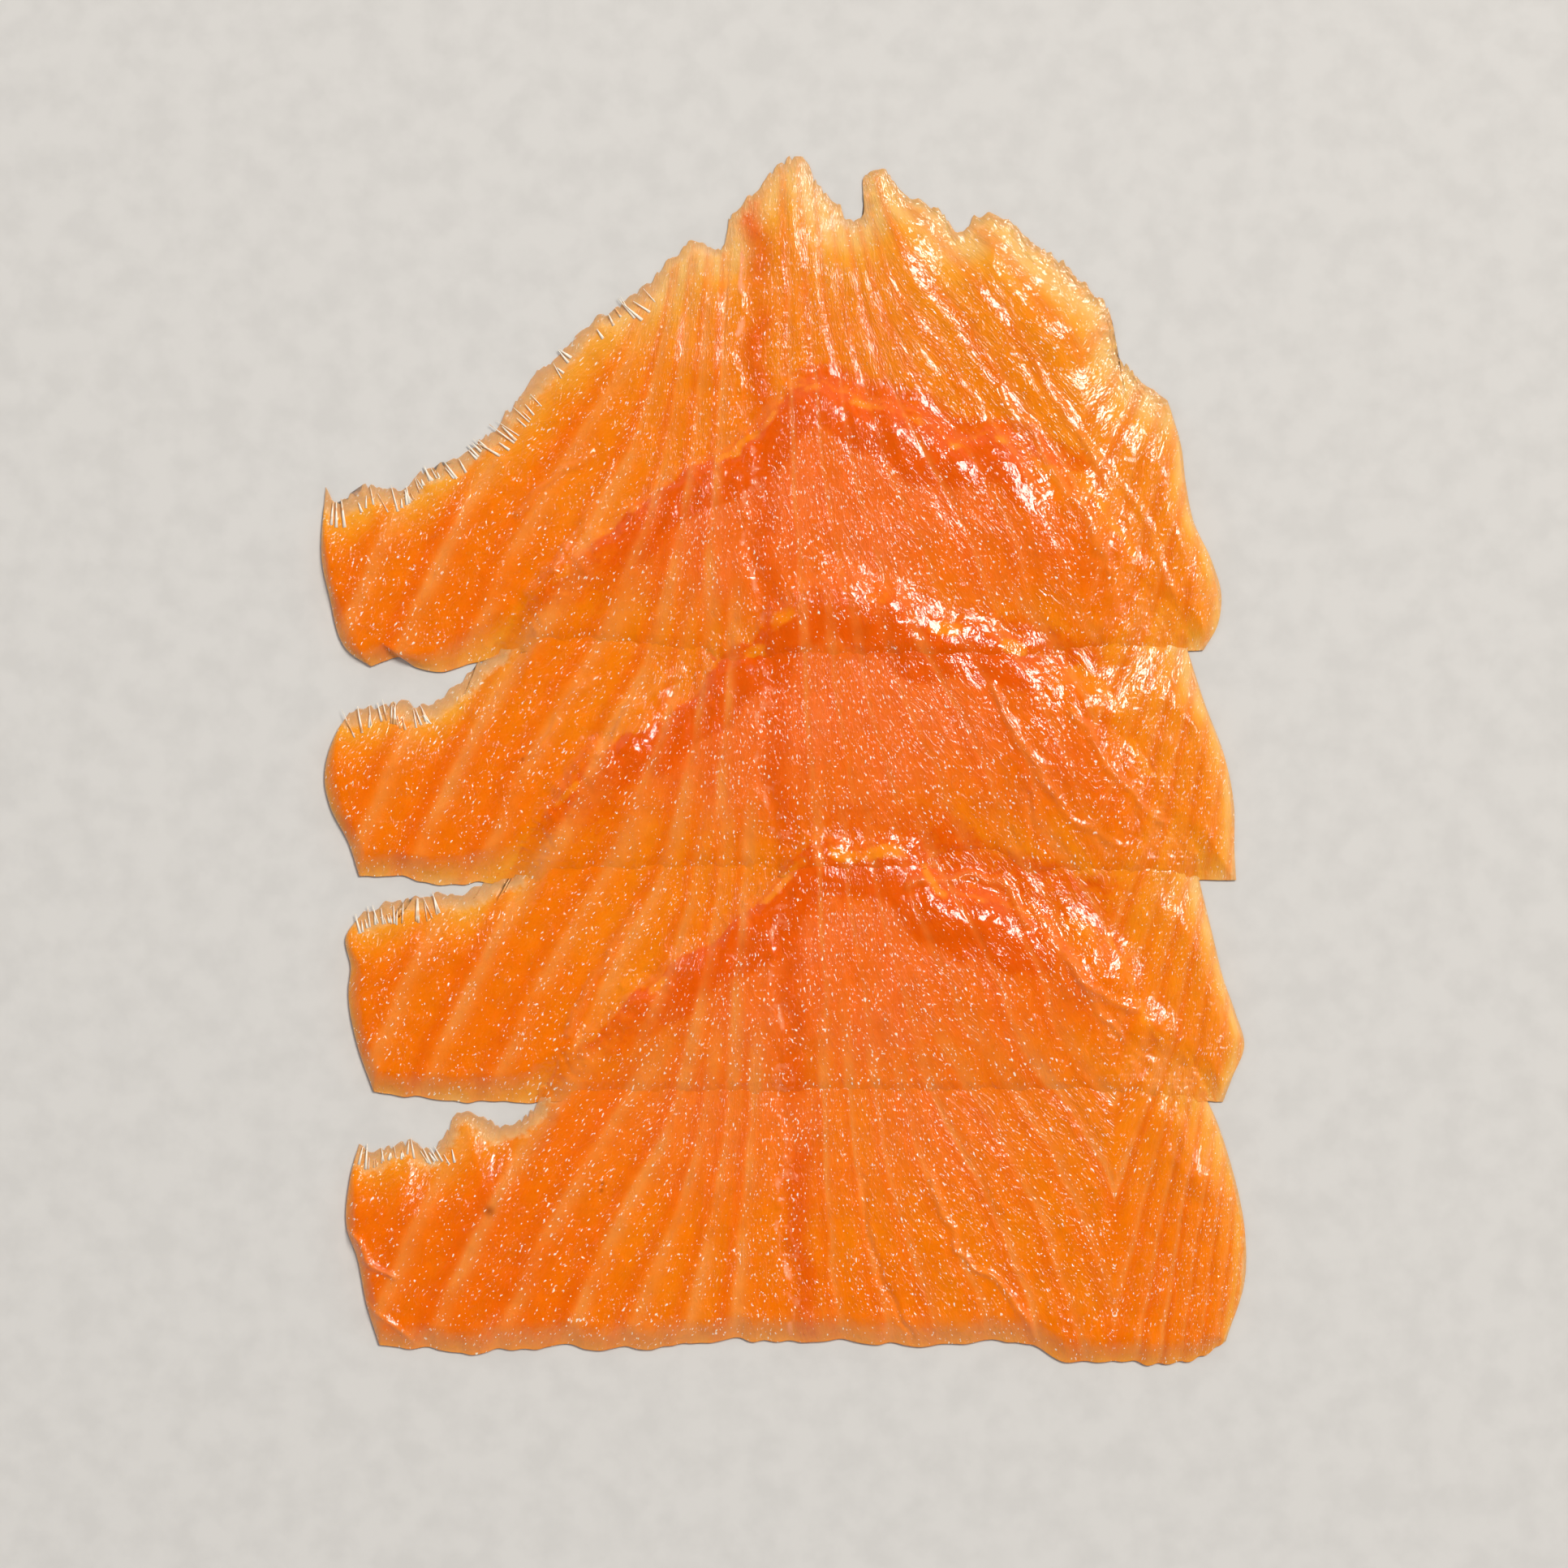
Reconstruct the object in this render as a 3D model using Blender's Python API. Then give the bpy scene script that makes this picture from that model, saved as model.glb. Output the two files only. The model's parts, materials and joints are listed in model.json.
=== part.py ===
"""Four slices of cold-smoked salmon, laid one over the next like roof tiles.

Seen from above, +Y is the back of the row and +X its right side, and z = 0 is
the surface the slices lie on. Slice 1 is at the back and on top: its front half
rests on slice 2, slice 2 on slice 3 and slice 3 on slice 4. Each slice is the
same cut through one fillet, a lobed half moon with a straight front edge.
"""

import bmesh
import bpy
import numpy as np

MM = 0.001

# How thick a slice is in its middle, and how thin its edges run out.
SLICE_THICKNESS = 2.6 * MM
BACK_EDGE = 0.6 * MM
BACK_TAPER = 11.0 * MM
FRONT_EDGE = 1.1 * MM
FRONT_TAPER = 5.0 * MM
SIDE_EDGE = 0.9 * MM
SIDE_TAPER = 7.0 * MM
UNEVENNESS = 0.22 * MM

# The flesh steps down a little where the two halves of the fillet meet.
SEAM_AT = -3.0 * MM
SEAM_DEPTH = 0.35 * MM
SEAM_WIDTH = 3.5 * MM

# Cells across and from front to back, alike on both faces of every slice.
CELLS_ACROSS = 44
CELLS_DEEP = 18

# How a slice settles over the one below.
GAP = 0.3 * MM
RASTER = 0.5 * MM
REACH = 3.0 * MM
SOFTNESS = 2.0 * MM
HALF_FIELD = (90.0 * MM, 115.0 * MM)

# The back edge shared by all four slices, in mm from the middle of the front
# edge: a low left lobe, the rise to the peak and the shoulder on the right.
BACK_EDGE_LINE = (
    (-67.0, 31.6), (-58.8, 34.6), (-50.4, 39.1), (-42.0, 49.7), (-33.6, 58.1),
    (-22.4, 66.5), (-13.0, 73.6), (-5.0, 79.6), (4.0, 86.8), (16.0, 85.6),
    (25.2, 81.3), (34.5, 77.6), (44.8, 74.8), (53.2, 68.4), (59.4, 58.9),
)

# One entry for each slice, in mm. "at" is the middle of its front edge, "left"
# and "right" run from the front corner to the back one, "front" is what lies
# between the front corners, "back_scale" stretches the back edge, and each
# notch in the back edge is (place across, depth, half width). A notch of
# negative depth is a swelling.
SLICES = (
    {
        "name": "slice_1",
        "at": (-2.4, 16.2),
        "left": ((-69.3, 0.0), (-74.6, 7.0), (-77.7, 17.5), (-77.2, 31.2)),
        "front": ((-61.5, 0.4), (-54.0, -0.5), (-35.0, 0.0), (0.0, 0.0), (35.0, 0.3)),
        "right": ((75.2, 2.8), (78.3, 11.6), (73.8, 25.2), (71.4, 36.4), (69.0, 46.2)),
        "back_scale": 1.0155,
        "notches": ((13.6, 9.0, 2.4), (-9.0, 2.0, 2.5), (33.9, 2.5, 2.0)),
    },
    {
        "name": "slice_2",
        "at": (-0.3, -21.6),
        "left": ((-73.4, 1.4), (-76.7, 11.0), (-79.4, 17.5), (-75.2, 29.8)),
        "front": ((-61.2, 0.0), (-37.1, 0.7), (0.0, 1.4), (36.0, 2.4), (48.0, 0.6)),
        "right": ((78.8, 0.7), (78.6, 13.0), (74.9, 28.0), (72.3, 36.0), (69.0, 45.0)),
        "back_scale": 0.985,
        "notches": ((-13.0, 1.5, 3.0),),
    },
    {
        "name": "slice_3",
        "at": (2.2, -59.1),
        "left": ((-73.4, 1.5), (-76.2, 9.4), (-78.1, 24.0), (-75.2, 32.8)),
        "front": ((-61.2, 0.0), (-37.0, -0.1), (0.0, 0.0), (24.0, 0.0), (48.0, 0.1)),
        "right": ((74.0, -0.3), (77.7, 10.0), (73.2, 26.3), (71.1, 34.7), (68.0, 46.0)),
        "back_scale": 1.02,
        "notches": ((-11.0, 3.0, 3.5), (-66.0, -1.8, 7.0)),
    },
    {
        "name": "slice_4",
        "at": (3.2, -102.5),
        "left": ((-73.8, 0.9), (-76.6, 11.0), (-78.9, 26.0), (-77.0, 35.4)),
        "front": ((-58.9, -0.5), (-30.8, 0.2), (-8.0, 1.6), (14.0, 0.4), (42.0, -0.6), (60.0, -2.1)),
        "right": ((73.5, 1.0), (77.1, 16.5), (74.2, 32.9), (71.4, 41.0), (67.2, 49.0)),
        "back_scale": 1.0,
        "notches": ((-64.4, 2.4, 1.8), (-61.0, -4.6, 9.0)),
    },
)

COLLECTION = "smoked_salmon_slices"
FLESH_COLOUR = (0.85, 0.19, 0.012, 1.0)
FLESH_ROUGHNESS = 0.32


def clear_scene():
    """Remove every object the file starts with."""
    for thing in list(bpy.data.objects):
        bpy.data.objects.remove(thing, do_unlink=True)


def rounded_line(points, steps=10):
    """Points on a Catmull-Rom curve through the given ones, in metres."""
    knots = np.array(points, dtype=float) * MM
    ends = (2 * knots[0] - knots[1], 2 * knots[-1] - knots[-2])
    padded = np.vstack([ends[0], knots, ends[1]])
    line = []
    for before, start, stop, after in zip(padded, padded[1:], padded[2:], padded[3:]):
        for step in range(steps):
            u = step / steps
            line.append(0.5 * (
                2 * start
                + (stop - before) * u
                + (2 * before - 5 * start + 4 * stop - after) * u ** 2
                + (3 * start - before - 3 * stop + after) * u ** 3
            ))
    line.append(knots[-1])
    return np.array(line)


def spread_along(line, fractions, by_width=0.0):
    """Places on the line at these fractions of its length, or partly its width."""
    pieces = np.linalg.norm(np.diff(line, axis=0), axis=1)
    length = np.concatenate([[0.0], np.cumsum(pieces)])
    width = np.maximum.accumulate(line[:, 0] - line[0, 0])
    measure = (1 - by_width) * length / length[-1]
    if by_width:
        measure = measure + by_width * width / width[-1]
    return np.column_stack([np.interp(fractions, measure, line[:, k]) for k in (0, 1)])


def eased(values):
    """Smoothstep of values clipped to 0..1."""
    held = np.clip(values, 0.0, 1.0)
    return held * held * (3 - 2 * held)


def slice_places(plan):
    """The (x, y) of every grid point of one slice, front row first."""
    across = np.linspace(0.0, 1.0, CELLS_ACROSS + 1)
    deep = np.linspace(0.0, 1.0, CELLS_DEEP + 1)
    deep = 0.7 * deep + 0.3 * eased(deep)
    middle = [(x, y * plan["back_scale"]) for x, y in BACK_EDGE_LINE]
    corners = (plan["left"][0], plan["right"][0], plan["left"][-1], plan["right"][-1])
    front = spread_along(rounded_line((corners[0],) + plan["front"] + (corners[1],)), across)
    back_line = rounded_line([corners[2]] + middle + [corners[3]])
    for place, depth, half_width in plan["notches"]:
        off = (back_line[:, 0] - place * MM) / (half_width * MM)
        back_line[:, 1] -= depth * MM * np.exp(-off ** 2)
    back = spread_along(back_line, across, by_width=0.5)
    left = spread_along(rounded_line(plan["left"]), deep)
    right = spread_along(rounded_line(plan["right"]), deep)
    s = across[None, :, None]
    t = deep[:, None, None]
    ruled = (1 - t) * front[None] + t * back[None]
    sides = (1 - s) * left[:, None] + s * right[:, None]
    flat = (
        (1 - s) * (1 - t) * front[0] + s * (1 - t) * front[-1]
        + (1 - s) * t * back[0] + s * t * back[-1]
    )
    return ruled + sides - flat + np.array(plan["at"]) * MM


def taper(distance, edge, reach):
    """Share of the full thickness left at this distance from an edge."""
    least = edge / SLICE_THICKNESS
    return least + (1 - least) * np.sqrt(eased(distance / reach))


def slice_thickness(places, plan):
    """Thickness at every grid point: full in the middle, thin at the edges."""
    from_front = np.linalg.norm(places - places[:1], axis=2)
    from_back = np.linalg.norm(places - places[-1:], axis=2)
    from_left = np.linalg.norm(places - places[:, :1], axis=2)
    from_right = np.linalg.norm(places - places[:, -1:], axis=2)
    share = np.minimum.reduce([
        taper(from_front, FRONT_EDGE, FRONT_TAPER),
        taper(from_back, BACK_EDGE, BACK_TAPER),
        taper(from_left, SIDE_EDGE, SIDE_TAPER),
        taper(from_right, SIDE_EDGE, SIDE_TAPER),
    ])
    x = places[..., 0] - plan["at"][0] * MM
    y = places[..., 1] - plan["at"][1] * MM
    flakes = np.sin((y + 0.75 * np.abs(x)) * 2 * np.pi / (26 * MM))
    swell = np.sin(x * 2 * np.pi / (61 * MM) + plan["at"][1]) * np.cos(y * 2 * np.pi / (47 * MM))
    seam = SEAM_DEPTH * np.exp(-(((x - SEAM_AT) / SEAM_WIDTH) ** 2))
    body = SLICE_THICKNESS + UNEVENNESS * (0.6 * flakes + 0.4 * swell) - seam
    return share * body


def cell_samples(heights, u, v, pick):
    """Height inside every cell at (u, v), by whichever diagonal pick prefers."""
    low = heights[:-1, :-1]
    right = heights[:-1, 1:]
    up = heights[1:, :-1]
    far = heights[1:, 1:]
    if u >= v:
        rising = low + u * (right - low) + v * (far - right)
    else:
        rising = low + v * (up - low) + u * (far - up)
    if u + v <= 1:
        falling = low + u * (right - low) + v * (up - low)
    else:
        falling = far + (1 - u) * (up - far) + (1 - v) * (right - far)
    return pick(rising, falling)


def cell_places(places, u, v):
    """The (x, y) inside every cell at (u, v)."""
    low = (1 - u) * places[:-1, :-1] + u * places[:-1, 1:]
    high = (1 - u) * places[1:, :-1] + u * places[1:, 1:]
    return (1 - v) * low + v * high


def raster_index(places):
    """Row and column of the raster cell each place falls in."""
    column = np.rint((places[..., 0] + HALF_FIELD[0]) / RASTER).astype(int)
    row = np.rint((places[..., 1] + HALF_FIELD[1]) / RASTER).astype(int)
    return row, column


def spread_highest(field, distance):
    """Raise every raster cell to the highest one within this distance."""
    count = int(round(distance / RASTER))
    for axis in (0, 1):
        wide = field.copy()
        for shift in range(1, count + 1):
            wide = np.maximum(wide, np.roll(field, shift, axis))
            wide = np.maximum(wide, np.roll(field, -shift, axis))
        field = wide
    return field


def soften(field, distance):
    """Blur the raster over about this distance."""
    count = int(round(distance / RASTER))
    for axis in (0, 1, 0, 1):
        total = field.copy()
        for shift in range(1, count + 1):
            total = total + np.roll(field, shift, axis) + np.roll(field, -shift, axis)
        field = total / (2 * count + 1)
    return field


SAMPLE_STEPS = np.linspace(0.0, 1.0, 11)


def lift_clear(bottom, places, ground):
    """Raise grid points until no cell's underside is lower than the ground."""
    shortfall = np.zeros((CELLS_DEEP, CELLS_ACROSS))
    for v in SAMPLE_STEPS:
        for u in SAMPLE_STEPS:
            needed = ground[raster_index(cell_places(places, u, v))]
            shortfall = np.maximum(shortfall, needed - cell_samples(bottom, u, v, np.minimum))
    padded = np.pad(shortfall, 1)
    lift = np.maximum.reduce([padded[:-1, :-1], padded[:-1, 1:], padded[1:, :-1], padded[1:, 1:]])
    return bottom + lift


def settle(places, ground):
    """Underside heights of a soft slice laid over the ground."""
    bed = soften(spread_highest(ground, REACH), SOFTNESS)
    bottom = bed[raster_index(places)]
    bottom[bottom < 0.02 * MM] = 0.0
    return lift_clear(bottom, places, ground)


def cover(ground, places, top):
    """The ground for the next slice: this slice's top and the gap above it."""
    field = ground.copy()
    for v in SAMPLE_STEPS:
        for u in SAMPLE_STEPS:
            heights = cell_samples(top, u, v, np.maximum) + GAP
            np.maximum.at(field, raster_index(cell_places(places, u, v)), heights)
    return spread_highest(field, RASTER)


def flesh_material(name):
    """Orange salmon flesh, moist and a little glossy."""
    material = bpy.data.materials.new(name)
    material.use_nodes = True
    shader = material.node_tree.nodes["Principled BSDF"]
    shader.inputs["Base Color"].default_value = FLESH_COLOUR
    shader.inputs["Roughness"].default_value = FLESH_ROUGHNESS
    material.diffuse_color = FLESH_COLOUR
    return material


def slice_mesh(name, places, bottom, top):
    """A closed sheet: the lower grid extruded to the upper one."""
    sheet = bmesh.new()
    bmesh.ops.create_grid(sheet, x_segments=CELLS_ACROSS, y_segments=CELLS_DEEP, size=0.5)
    bmesh.ops.triangulate(sheet, faces=sheet.faces[:], quad_method="FIXED")
    grid_points = [
        (point, round((point.co.y + 0.5) * CELLS_DEEP), round((point.co.x + 0.5) * CELLS_ACROSS))
        for point in sheet.verts
    ]
    cells = {(row, column): point for point, row, column in grid_points}
    raised = bmesh.ops.extrude_face_region(sheet, geom=sheet.faces[:])["geom"]
    for point in raised:
        if isinstance(point, bmesh.types.BMVert):
            row = round((point.co.y + 0.5) * CELLS_DEEP)
            column = round((point.co.x + 0.5) * CELLS_ACROSS)
            point.co = (*places[row, column], top[row, column])
    for (row, column), point in cells.items():
        point.co = (*places[row, column], bottom[row, column])
    bmesh.ops.triangulate(sheet, faces=[face for face in sheet.faces if len(face.verts) > 3])
    bmesh.ops.recalc_face_normals(sheet, faces=sheet.faces[:])
    mesh = bpy.data.meshes.new(name)
    sheet.to_mesh(mesh)
    sheet.free()
    return mesh


def build():
    """Lay the slices from the front one up to the back one."""
    clear_scene()
    collection = bpy.data.collections.new(COLLECTION)
    bpy.context.scene.collection.children.link(collection)
    rows = int(round(2 * HALF_FIELD[1] / RASTER)) + 1
    columns = int(round(2 * HALF_FIELD[0] / RASTER)) + 1
    ground = np.zeros((rows, columns))
    for plan in reversed(SLICES):
        places = slice_places(plan)
        bottom = settle(places, ground)
        top = bottom + slice_thickness(places, plan)
        ground = cover(ground, places, top)
        mesh = slice_mesh(plan["name"], places, bottom, top)
        mesh.materials.append(flesh_material(plan["name"] + "_flesh"))
        collection.objects.link(bpy.data.objects.new(plan["name"], mesh))


build()
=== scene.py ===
"""Smoked salmon slices: the looks of four thin slices laid one over the next.

Seen from above, +Y is the back of the row and +X its right side. The script is
laid out as an add-on and is run as a script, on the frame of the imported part.
"""

import json

import bpy
import numpy as np
from bpy.props import FloatProperty, FloatVectorProperty, IntProperty, PointerProperty
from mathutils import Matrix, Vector

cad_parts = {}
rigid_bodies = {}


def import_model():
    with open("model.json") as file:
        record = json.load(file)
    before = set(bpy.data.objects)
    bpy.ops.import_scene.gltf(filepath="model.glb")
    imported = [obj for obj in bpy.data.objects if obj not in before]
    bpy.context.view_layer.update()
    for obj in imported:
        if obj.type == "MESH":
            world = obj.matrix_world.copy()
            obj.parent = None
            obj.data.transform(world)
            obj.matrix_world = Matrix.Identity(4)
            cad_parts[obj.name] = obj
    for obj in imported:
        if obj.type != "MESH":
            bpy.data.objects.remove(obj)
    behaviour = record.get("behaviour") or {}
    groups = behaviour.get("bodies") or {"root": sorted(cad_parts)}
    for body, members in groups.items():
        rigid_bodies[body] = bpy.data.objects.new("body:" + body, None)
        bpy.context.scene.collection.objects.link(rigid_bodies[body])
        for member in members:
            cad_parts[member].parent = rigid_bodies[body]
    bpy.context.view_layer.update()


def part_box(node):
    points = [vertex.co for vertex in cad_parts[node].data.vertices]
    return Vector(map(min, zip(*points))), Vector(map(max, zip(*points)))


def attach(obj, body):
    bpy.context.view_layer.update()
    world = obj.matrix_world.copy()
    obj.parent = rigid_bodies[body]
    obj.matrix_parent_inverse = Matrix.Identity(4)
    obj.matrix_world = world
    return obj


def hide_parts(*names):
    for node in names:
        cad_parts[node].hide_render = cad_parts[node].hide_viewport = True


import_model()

bl_info = {
    "name": "Smoked salmon slices",
    "version": (1, 0, 0),
    "blender": (4, 5, 0),
    "location": "3D View > Sidebar > Salmon",
    "description": "Four slices of cold-smoked salmon with flaky, moist, ragged-edged flesh",
    "category": "Object",
}

MM = 0.001
SLICE_NAMES = ("slice_1", "slice_2", "slice_3", "slice_4")
BACK_SLICE, FRONT_SLICE = SLICE_NAMES[0], SLICE_NAMES[-1]

# The back edge that all slices share, in mm from the middle of the front edge.
SHARED_BACK = (
    (-67.0, 31.6), (-58.8, 34.6), (-50.4, 39.1), (-42.0, 49.7), (-33.6, 58.1),
    (-22.4, 66.5), (-13.0, 73.6), (-5.0, 79.6), (4.0, 86.8), (16.0, 85.6),
    (25.2, 81.3), (34.5, 77.6), (44.8, 74.8), (53.2, 68.4), (59.4, 58.9),
)

# One entry for each slice, in mm from the middle of its front edge: "left" and
# "right" run from the front corner to the back one, "front" and "back" lie
# between them. "arm" is how far the flake lines lean beyond the bend near the
# right edge, and how densely they follow there. "scallop" is how strongly the
# front edge bulges, "fat_width" the width of the fat lines on the right,
# "fringe_to" where the fringe ends, and "shade_beside" how far outside the back
# edge the slice above gets a painted shade. A crease is a line with its half
# width and height, a lump has a place, two radii and a height, and a speck a
# place and a radius.
PLANS = {
    "slice_1": {
        "at": (-2.4, 16.2),
        "left": ((-69.3, 0.0), (-73.1, 2.5), (-76.6, 12.6), (-77.7, 17.5), (-77.2, 31.2)),
        "front": (
            (-64.7, 1.5), (-61.5, 0.0), (-55.3, -0.8), (-52.2, 0.4), (0.0, 0.0), (35.0, 0.3),
        ),
        "right": (
            (75.2, 2.8), (77.6, 7.0), (78.3, 12.6), (76.7, 18.2), (73.5, 25.2),
            (72.1, 32.2), (71.4, 38.0), (69.0, 46.2),
        ),
        "back": (
            (-75.6, 29.6), (-70.0, 31.5), (-64.4, 31.4), (-58.8, 34.6), (-50.4, 39.1),
            (-44.8, 44.9), (-42.0, 49.2), (-36.4, 54.5), (-30.8, 60.0), (-22.4, 65.7),
            (-16.8, 71.5), (-14.0, 73.8), (-8.4, 73.3), (-7.0, 78.1), (-2.8, 82.6),
            (2.0, 86.6), (5.6, 88.4), (8.4, 83.3), (11.2, 80.8), (14.0, 77.3),
            (15.9, 79.0), (16.6, 85.4), (19.6, 86.2), (22.4, 83.0), (28.0, 80.6),
            (33.6, 76.0), (35.4, 78.7), (42.0, 77.3), (47.6, 72.8), (53.2, 68.7),
            (58.8, 61.4), (60.2, 55.0), (64.7, 49.4),
        ),
        "back_scale": 1.0,
        "arm": (0.42, 0.4),
        "scallop": 0.6,
        "fat_width": 0.35,
        "fringe_to": -22.0,
        "shade_beside": 3.0,
        "creases": (
            (((-44.0, 26.0), (-37.0, 33.0), (-31.0, 37.0)), 0.7, 0.5),
            (((-37.0, 17.0), (-31.0, 27.0), (-27.5, 34.0)), 0.6, 0.45),
            (((40.0, 48.0), (49.0, 34.0), (56.0, 22.0), (60.0, 12.0)), 0.9, 0.3),
            (((46.0, 52.0), (55.0, 38.0), (62.0, 24.0)), 0.8, 0.25),
            (((54.0, 40.0), (64.0, 26.0), (70.0, 12.0)), 0.8, 0.25),
            (((49.0, 34.0), (55.0, 27.0), (60.0, 17.0)), 3.0, 0.4),
            (((-41.0, 12.0), (-37.0, 17.0)), 1.8, 0.7),
        ),
        "lumps": (
            (50.0, 58.0, 7.0, 5.0, 0.7), (56.0, 28.0, 4.0, 9.0, 0.8), (-12.0, 52.0, 5.0, 3.0, 0.5),
        ),
        "specks": (),
    },
    "slice_2": {
        "at": (-0.3, -21.6),
        "left": (
            (-73.4, 1.4), (-75.2, 7.0), (-78.5, 13.6), (-79.4, 17.5), (-77.4, 26.3), (-75.2, 29.8),
        ),
        "front": (
            (-66.1, 1.4), (-61.2, 0.0), (-52.9, 0.1), (-37.1, 0.7), (0.0, 1.4), (21.5, 1.9),
            (27.0, 3.0), (38.5, 3.1), (41.5, 0.4), (48.0, 0.7), (60.9, 0.6),
        ),
        "right": (
            (78.8, 0.7), (78.5, 5.6), (78.4, 14.0), (76.7, 22.4), (73.4, 31.2), (69.0, 45.0),
        ),
        "back": ((-72.1, 30.8), (-66.5, 31.6), (-60.9, 32.3), (-56.7, 34.7), (-52.5, 38.5)),
        "back_scale": 0.985,
        "arm": (0.5, 0.5),
        "scallop": 0.6,
        "fat_width": 0.35,
        "fringe_to": -58.0,
        "shade_beside": 3.0,
        "creases": (
            (((-43.0, 22.0), (-37.0, 31.0), (-33.0, 36.0)), 0.7, 0.5),
            (((-30.0, 24.0), (-24.0, 33.0), (-17.0, 37.0)), 0.7, 0.5),
            (((36.0, 34.0), (43.0, 22.0), (50.0, 12.0), (60.0, 6.0)), 0.8, 0.5),
            (((50.0, 30.0), (58.0, 18.0), (66.0, 10.0)), 0.8, 0.45),
            (((42.0, 16.0), (43.0, 4.0)), 0.6, -0.5),
            (((49.0, 34.0), (57.0, 30.0), (66.0, 23.0)), 2.8, 0.4),
            (((-37.0, 17.0), (-33.0, 23.0)), 1.8, 0.7),
            (((-27.0, 24.0), (-21.0, 32.0)), 1.8, 0.8),
        ),
        "lumps": ((58.0, 32.0, 6.0, 4.0, 0.7), (-26.0, 29.0, 4.0, 3.0, 0.6)),
        "specks": ((-44.9, 21.7, 0.35),),
    },
    "slice_3": {
        "at": (2.2, -59.1),
        "left": (
            (-73.4, 1.5), (-76.2, 9.4), (-77.8, 19.3), (-77.4, 23.1), (-78.3, 28.1), (-75.2, 32.8),
        ),
        "front": (
            (-64.8, 0.3), (-57.4, -0.3), (-37.0, -0.1), (0.0, 0.0), (24.0, 0.0), (48.0, 0.1),
        ),
        "right": (
            (74.0, -0.3), (75.6, 3.9), (77.7, 9.5), (76.2, 15.1), (74.2, 20.7), (72.1, 29.1),
            (68.0, 46.0),
        ),
        "back": ((-67.6, 34.7), (-60.6, 36.1), (-55.4, 37.9)),
        "back_scale": 1.02,
        "arm": (0.6, 0.6),
        "scallop": 0.6,
        "fat_width": 0.35,
        "fringe_to": -57.0,
        "shade_beside": 3.0,
        "creases": (
            (((-40.0, 12.0), (-33.0, 24.0), (-28.0, 34.0)), 0.7, 0.45),
            (((19.0, 37.0), (27.0, 39.0), (36.0, 37.0), (40.0, 31.0)), 0.8, 0.6),
            (((41.0, 34.0), (45.0, 27.0), (52.0, 19.0), (58.0, 16.0)), 0.8, 0.4),
            (((46.0, 26.0), (54.0, 14.0), (63.0, 5.0)), 0.7, 0.3),
            (((41.0, 36.0), (49.0, 30.0), (57.0, 20.0), (60.0, 13.0)), 2.8, 0.4),
        ),
        "lumps": (
            (27.0, 33.0, 7.0, 5.0, 0.9), (52.0, 22.0, 6.0, 5.0, 0.8), (62.0, 12.0, 5.0, 4.0, 0.6),
        ),
        "specks": (),
    },
    "slice_4": {
        "at": (3.2, -102.5),
        "left": (
            (-73.4, 0.9), (-75.6, 7.8), (-77.4, 16.5), (-79.0, 20.9), (-78.7, 29.0), (-77.0, 35.8),
        ),
        "front": (
            (-64.5, 0.2), (-58.9, -0.5), (-44.8, 0.5), (-30.8, 0.1), (-11.6, 1.6), (7.1, 1.4),
            (20.6, 0.4), (40.7, 0.2), (43.4, -1.3), (55.4, -2.2), (69.4, -1.3),
        ),
        "right": (
            (73.5, 1.6), (76.9, 12.9), (76.9, 19.6), (74.2, 32.9), (71.4, 41.0), (67.2, 49.0),
        ),
        "back": ((-72.8, 35.0), (-67.2, 36.8), (-64.4, 34.9), (-62.3, 37.5), (-59.4, 41.0)),
        "back_scale": 1.0,
        "arm": (0.95, 1.0),
        "scallop": 1.6,
        "fat_width": 0.45,
        "fringe_to": -56.0,
        "shade_beside": 7.0,
        "creases": (
            (((-78.0, 21.0), (-74.7, 15.8), (-70.5, 12.9)), 0.5, 0.6),
            (((-75.6, 8.7), (-67.2, 1.6)), 0.5, 0.4),
            (((22.0, 30.0), (28.0, 17.0), (36.0, 10.0), (41.0, 1.0)), 0.6, 0.5),
            (((10.0, 30.0), (13.0, 15.0), (19.0, 1.0)), 0.45, -0.5),
            (((66.0, 48.0), (67.5, 40.0), (69.5, 31.0)), 2.6, 1.0),
        ),
        "lumps": ((64.0, 38.0, 4.0, 7.0, 0.7),),
        "specks": ((-54.2, 24.5, 0.9), (-34.6, 29.2, 0.4), (-34.8, 28.0, 0.4)),
    },
}

# Where the lines between flakes meet the front edge, in mm from its middle.
LEFT_FEET = (-76.0, -64.5, -52.5, -41.5, -31.0, -21.5, -12.5)
RIGHT_FEET = (6.5, 15.0, 24.0, 33.0, 41.5, 49.0, 56.0, 63.5, 71.5, 80.0, 89.0, 98.0, 108.0)

# How far a flake line leans to the side for each mm of depth, and how it curls;
# on the right it turns into the arm beyond the bend line. Two lines are this much
# farther apart along the front edge than square to themselves.
LEFT_LEAN, LEFT_CURL = 0.34, 0.0035
RIGHT_LEAN, RIGHT_CURL = 0.22, 0.0045
BEND_LINE = 54.0
SLANT = 1.06

# The torn back edge, in mm: small teeth, shallow bites, and wide bites where it
# lies under the next slice.
TOOTH_SPACING, TOOTH_HEIGHT = 1.3, 1.3
BITE_SPACING, BITE_DEPTH = 4.5, 2.0
WIDE_BITE_SPACING, WIDE_BITE_DEPTH = 9.0, 5.0

# A crease this wide, in mm, is a soft swelling and gets no pale line.
WIDE_CREASE = 1.5

# How far a front edge sinks into the slice below, and the least thickness in mm.
FRONT_SINKS = 0.5 * MM
LEAST_THICKNESS = 0.05

# The torn edge's direction is evened over this many grid points on both sides,
# and no spike is longer than this times its reach.
EVENED = 12
LONGEST_SPIKE = 1.4

# How far a piece may reach past its solid, and where the picture's middle lies in
# front of or behind the row's.
MOST_OFF = 6 * MM
PICTURE_MIDDLE = -4.2 * MM

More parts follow.
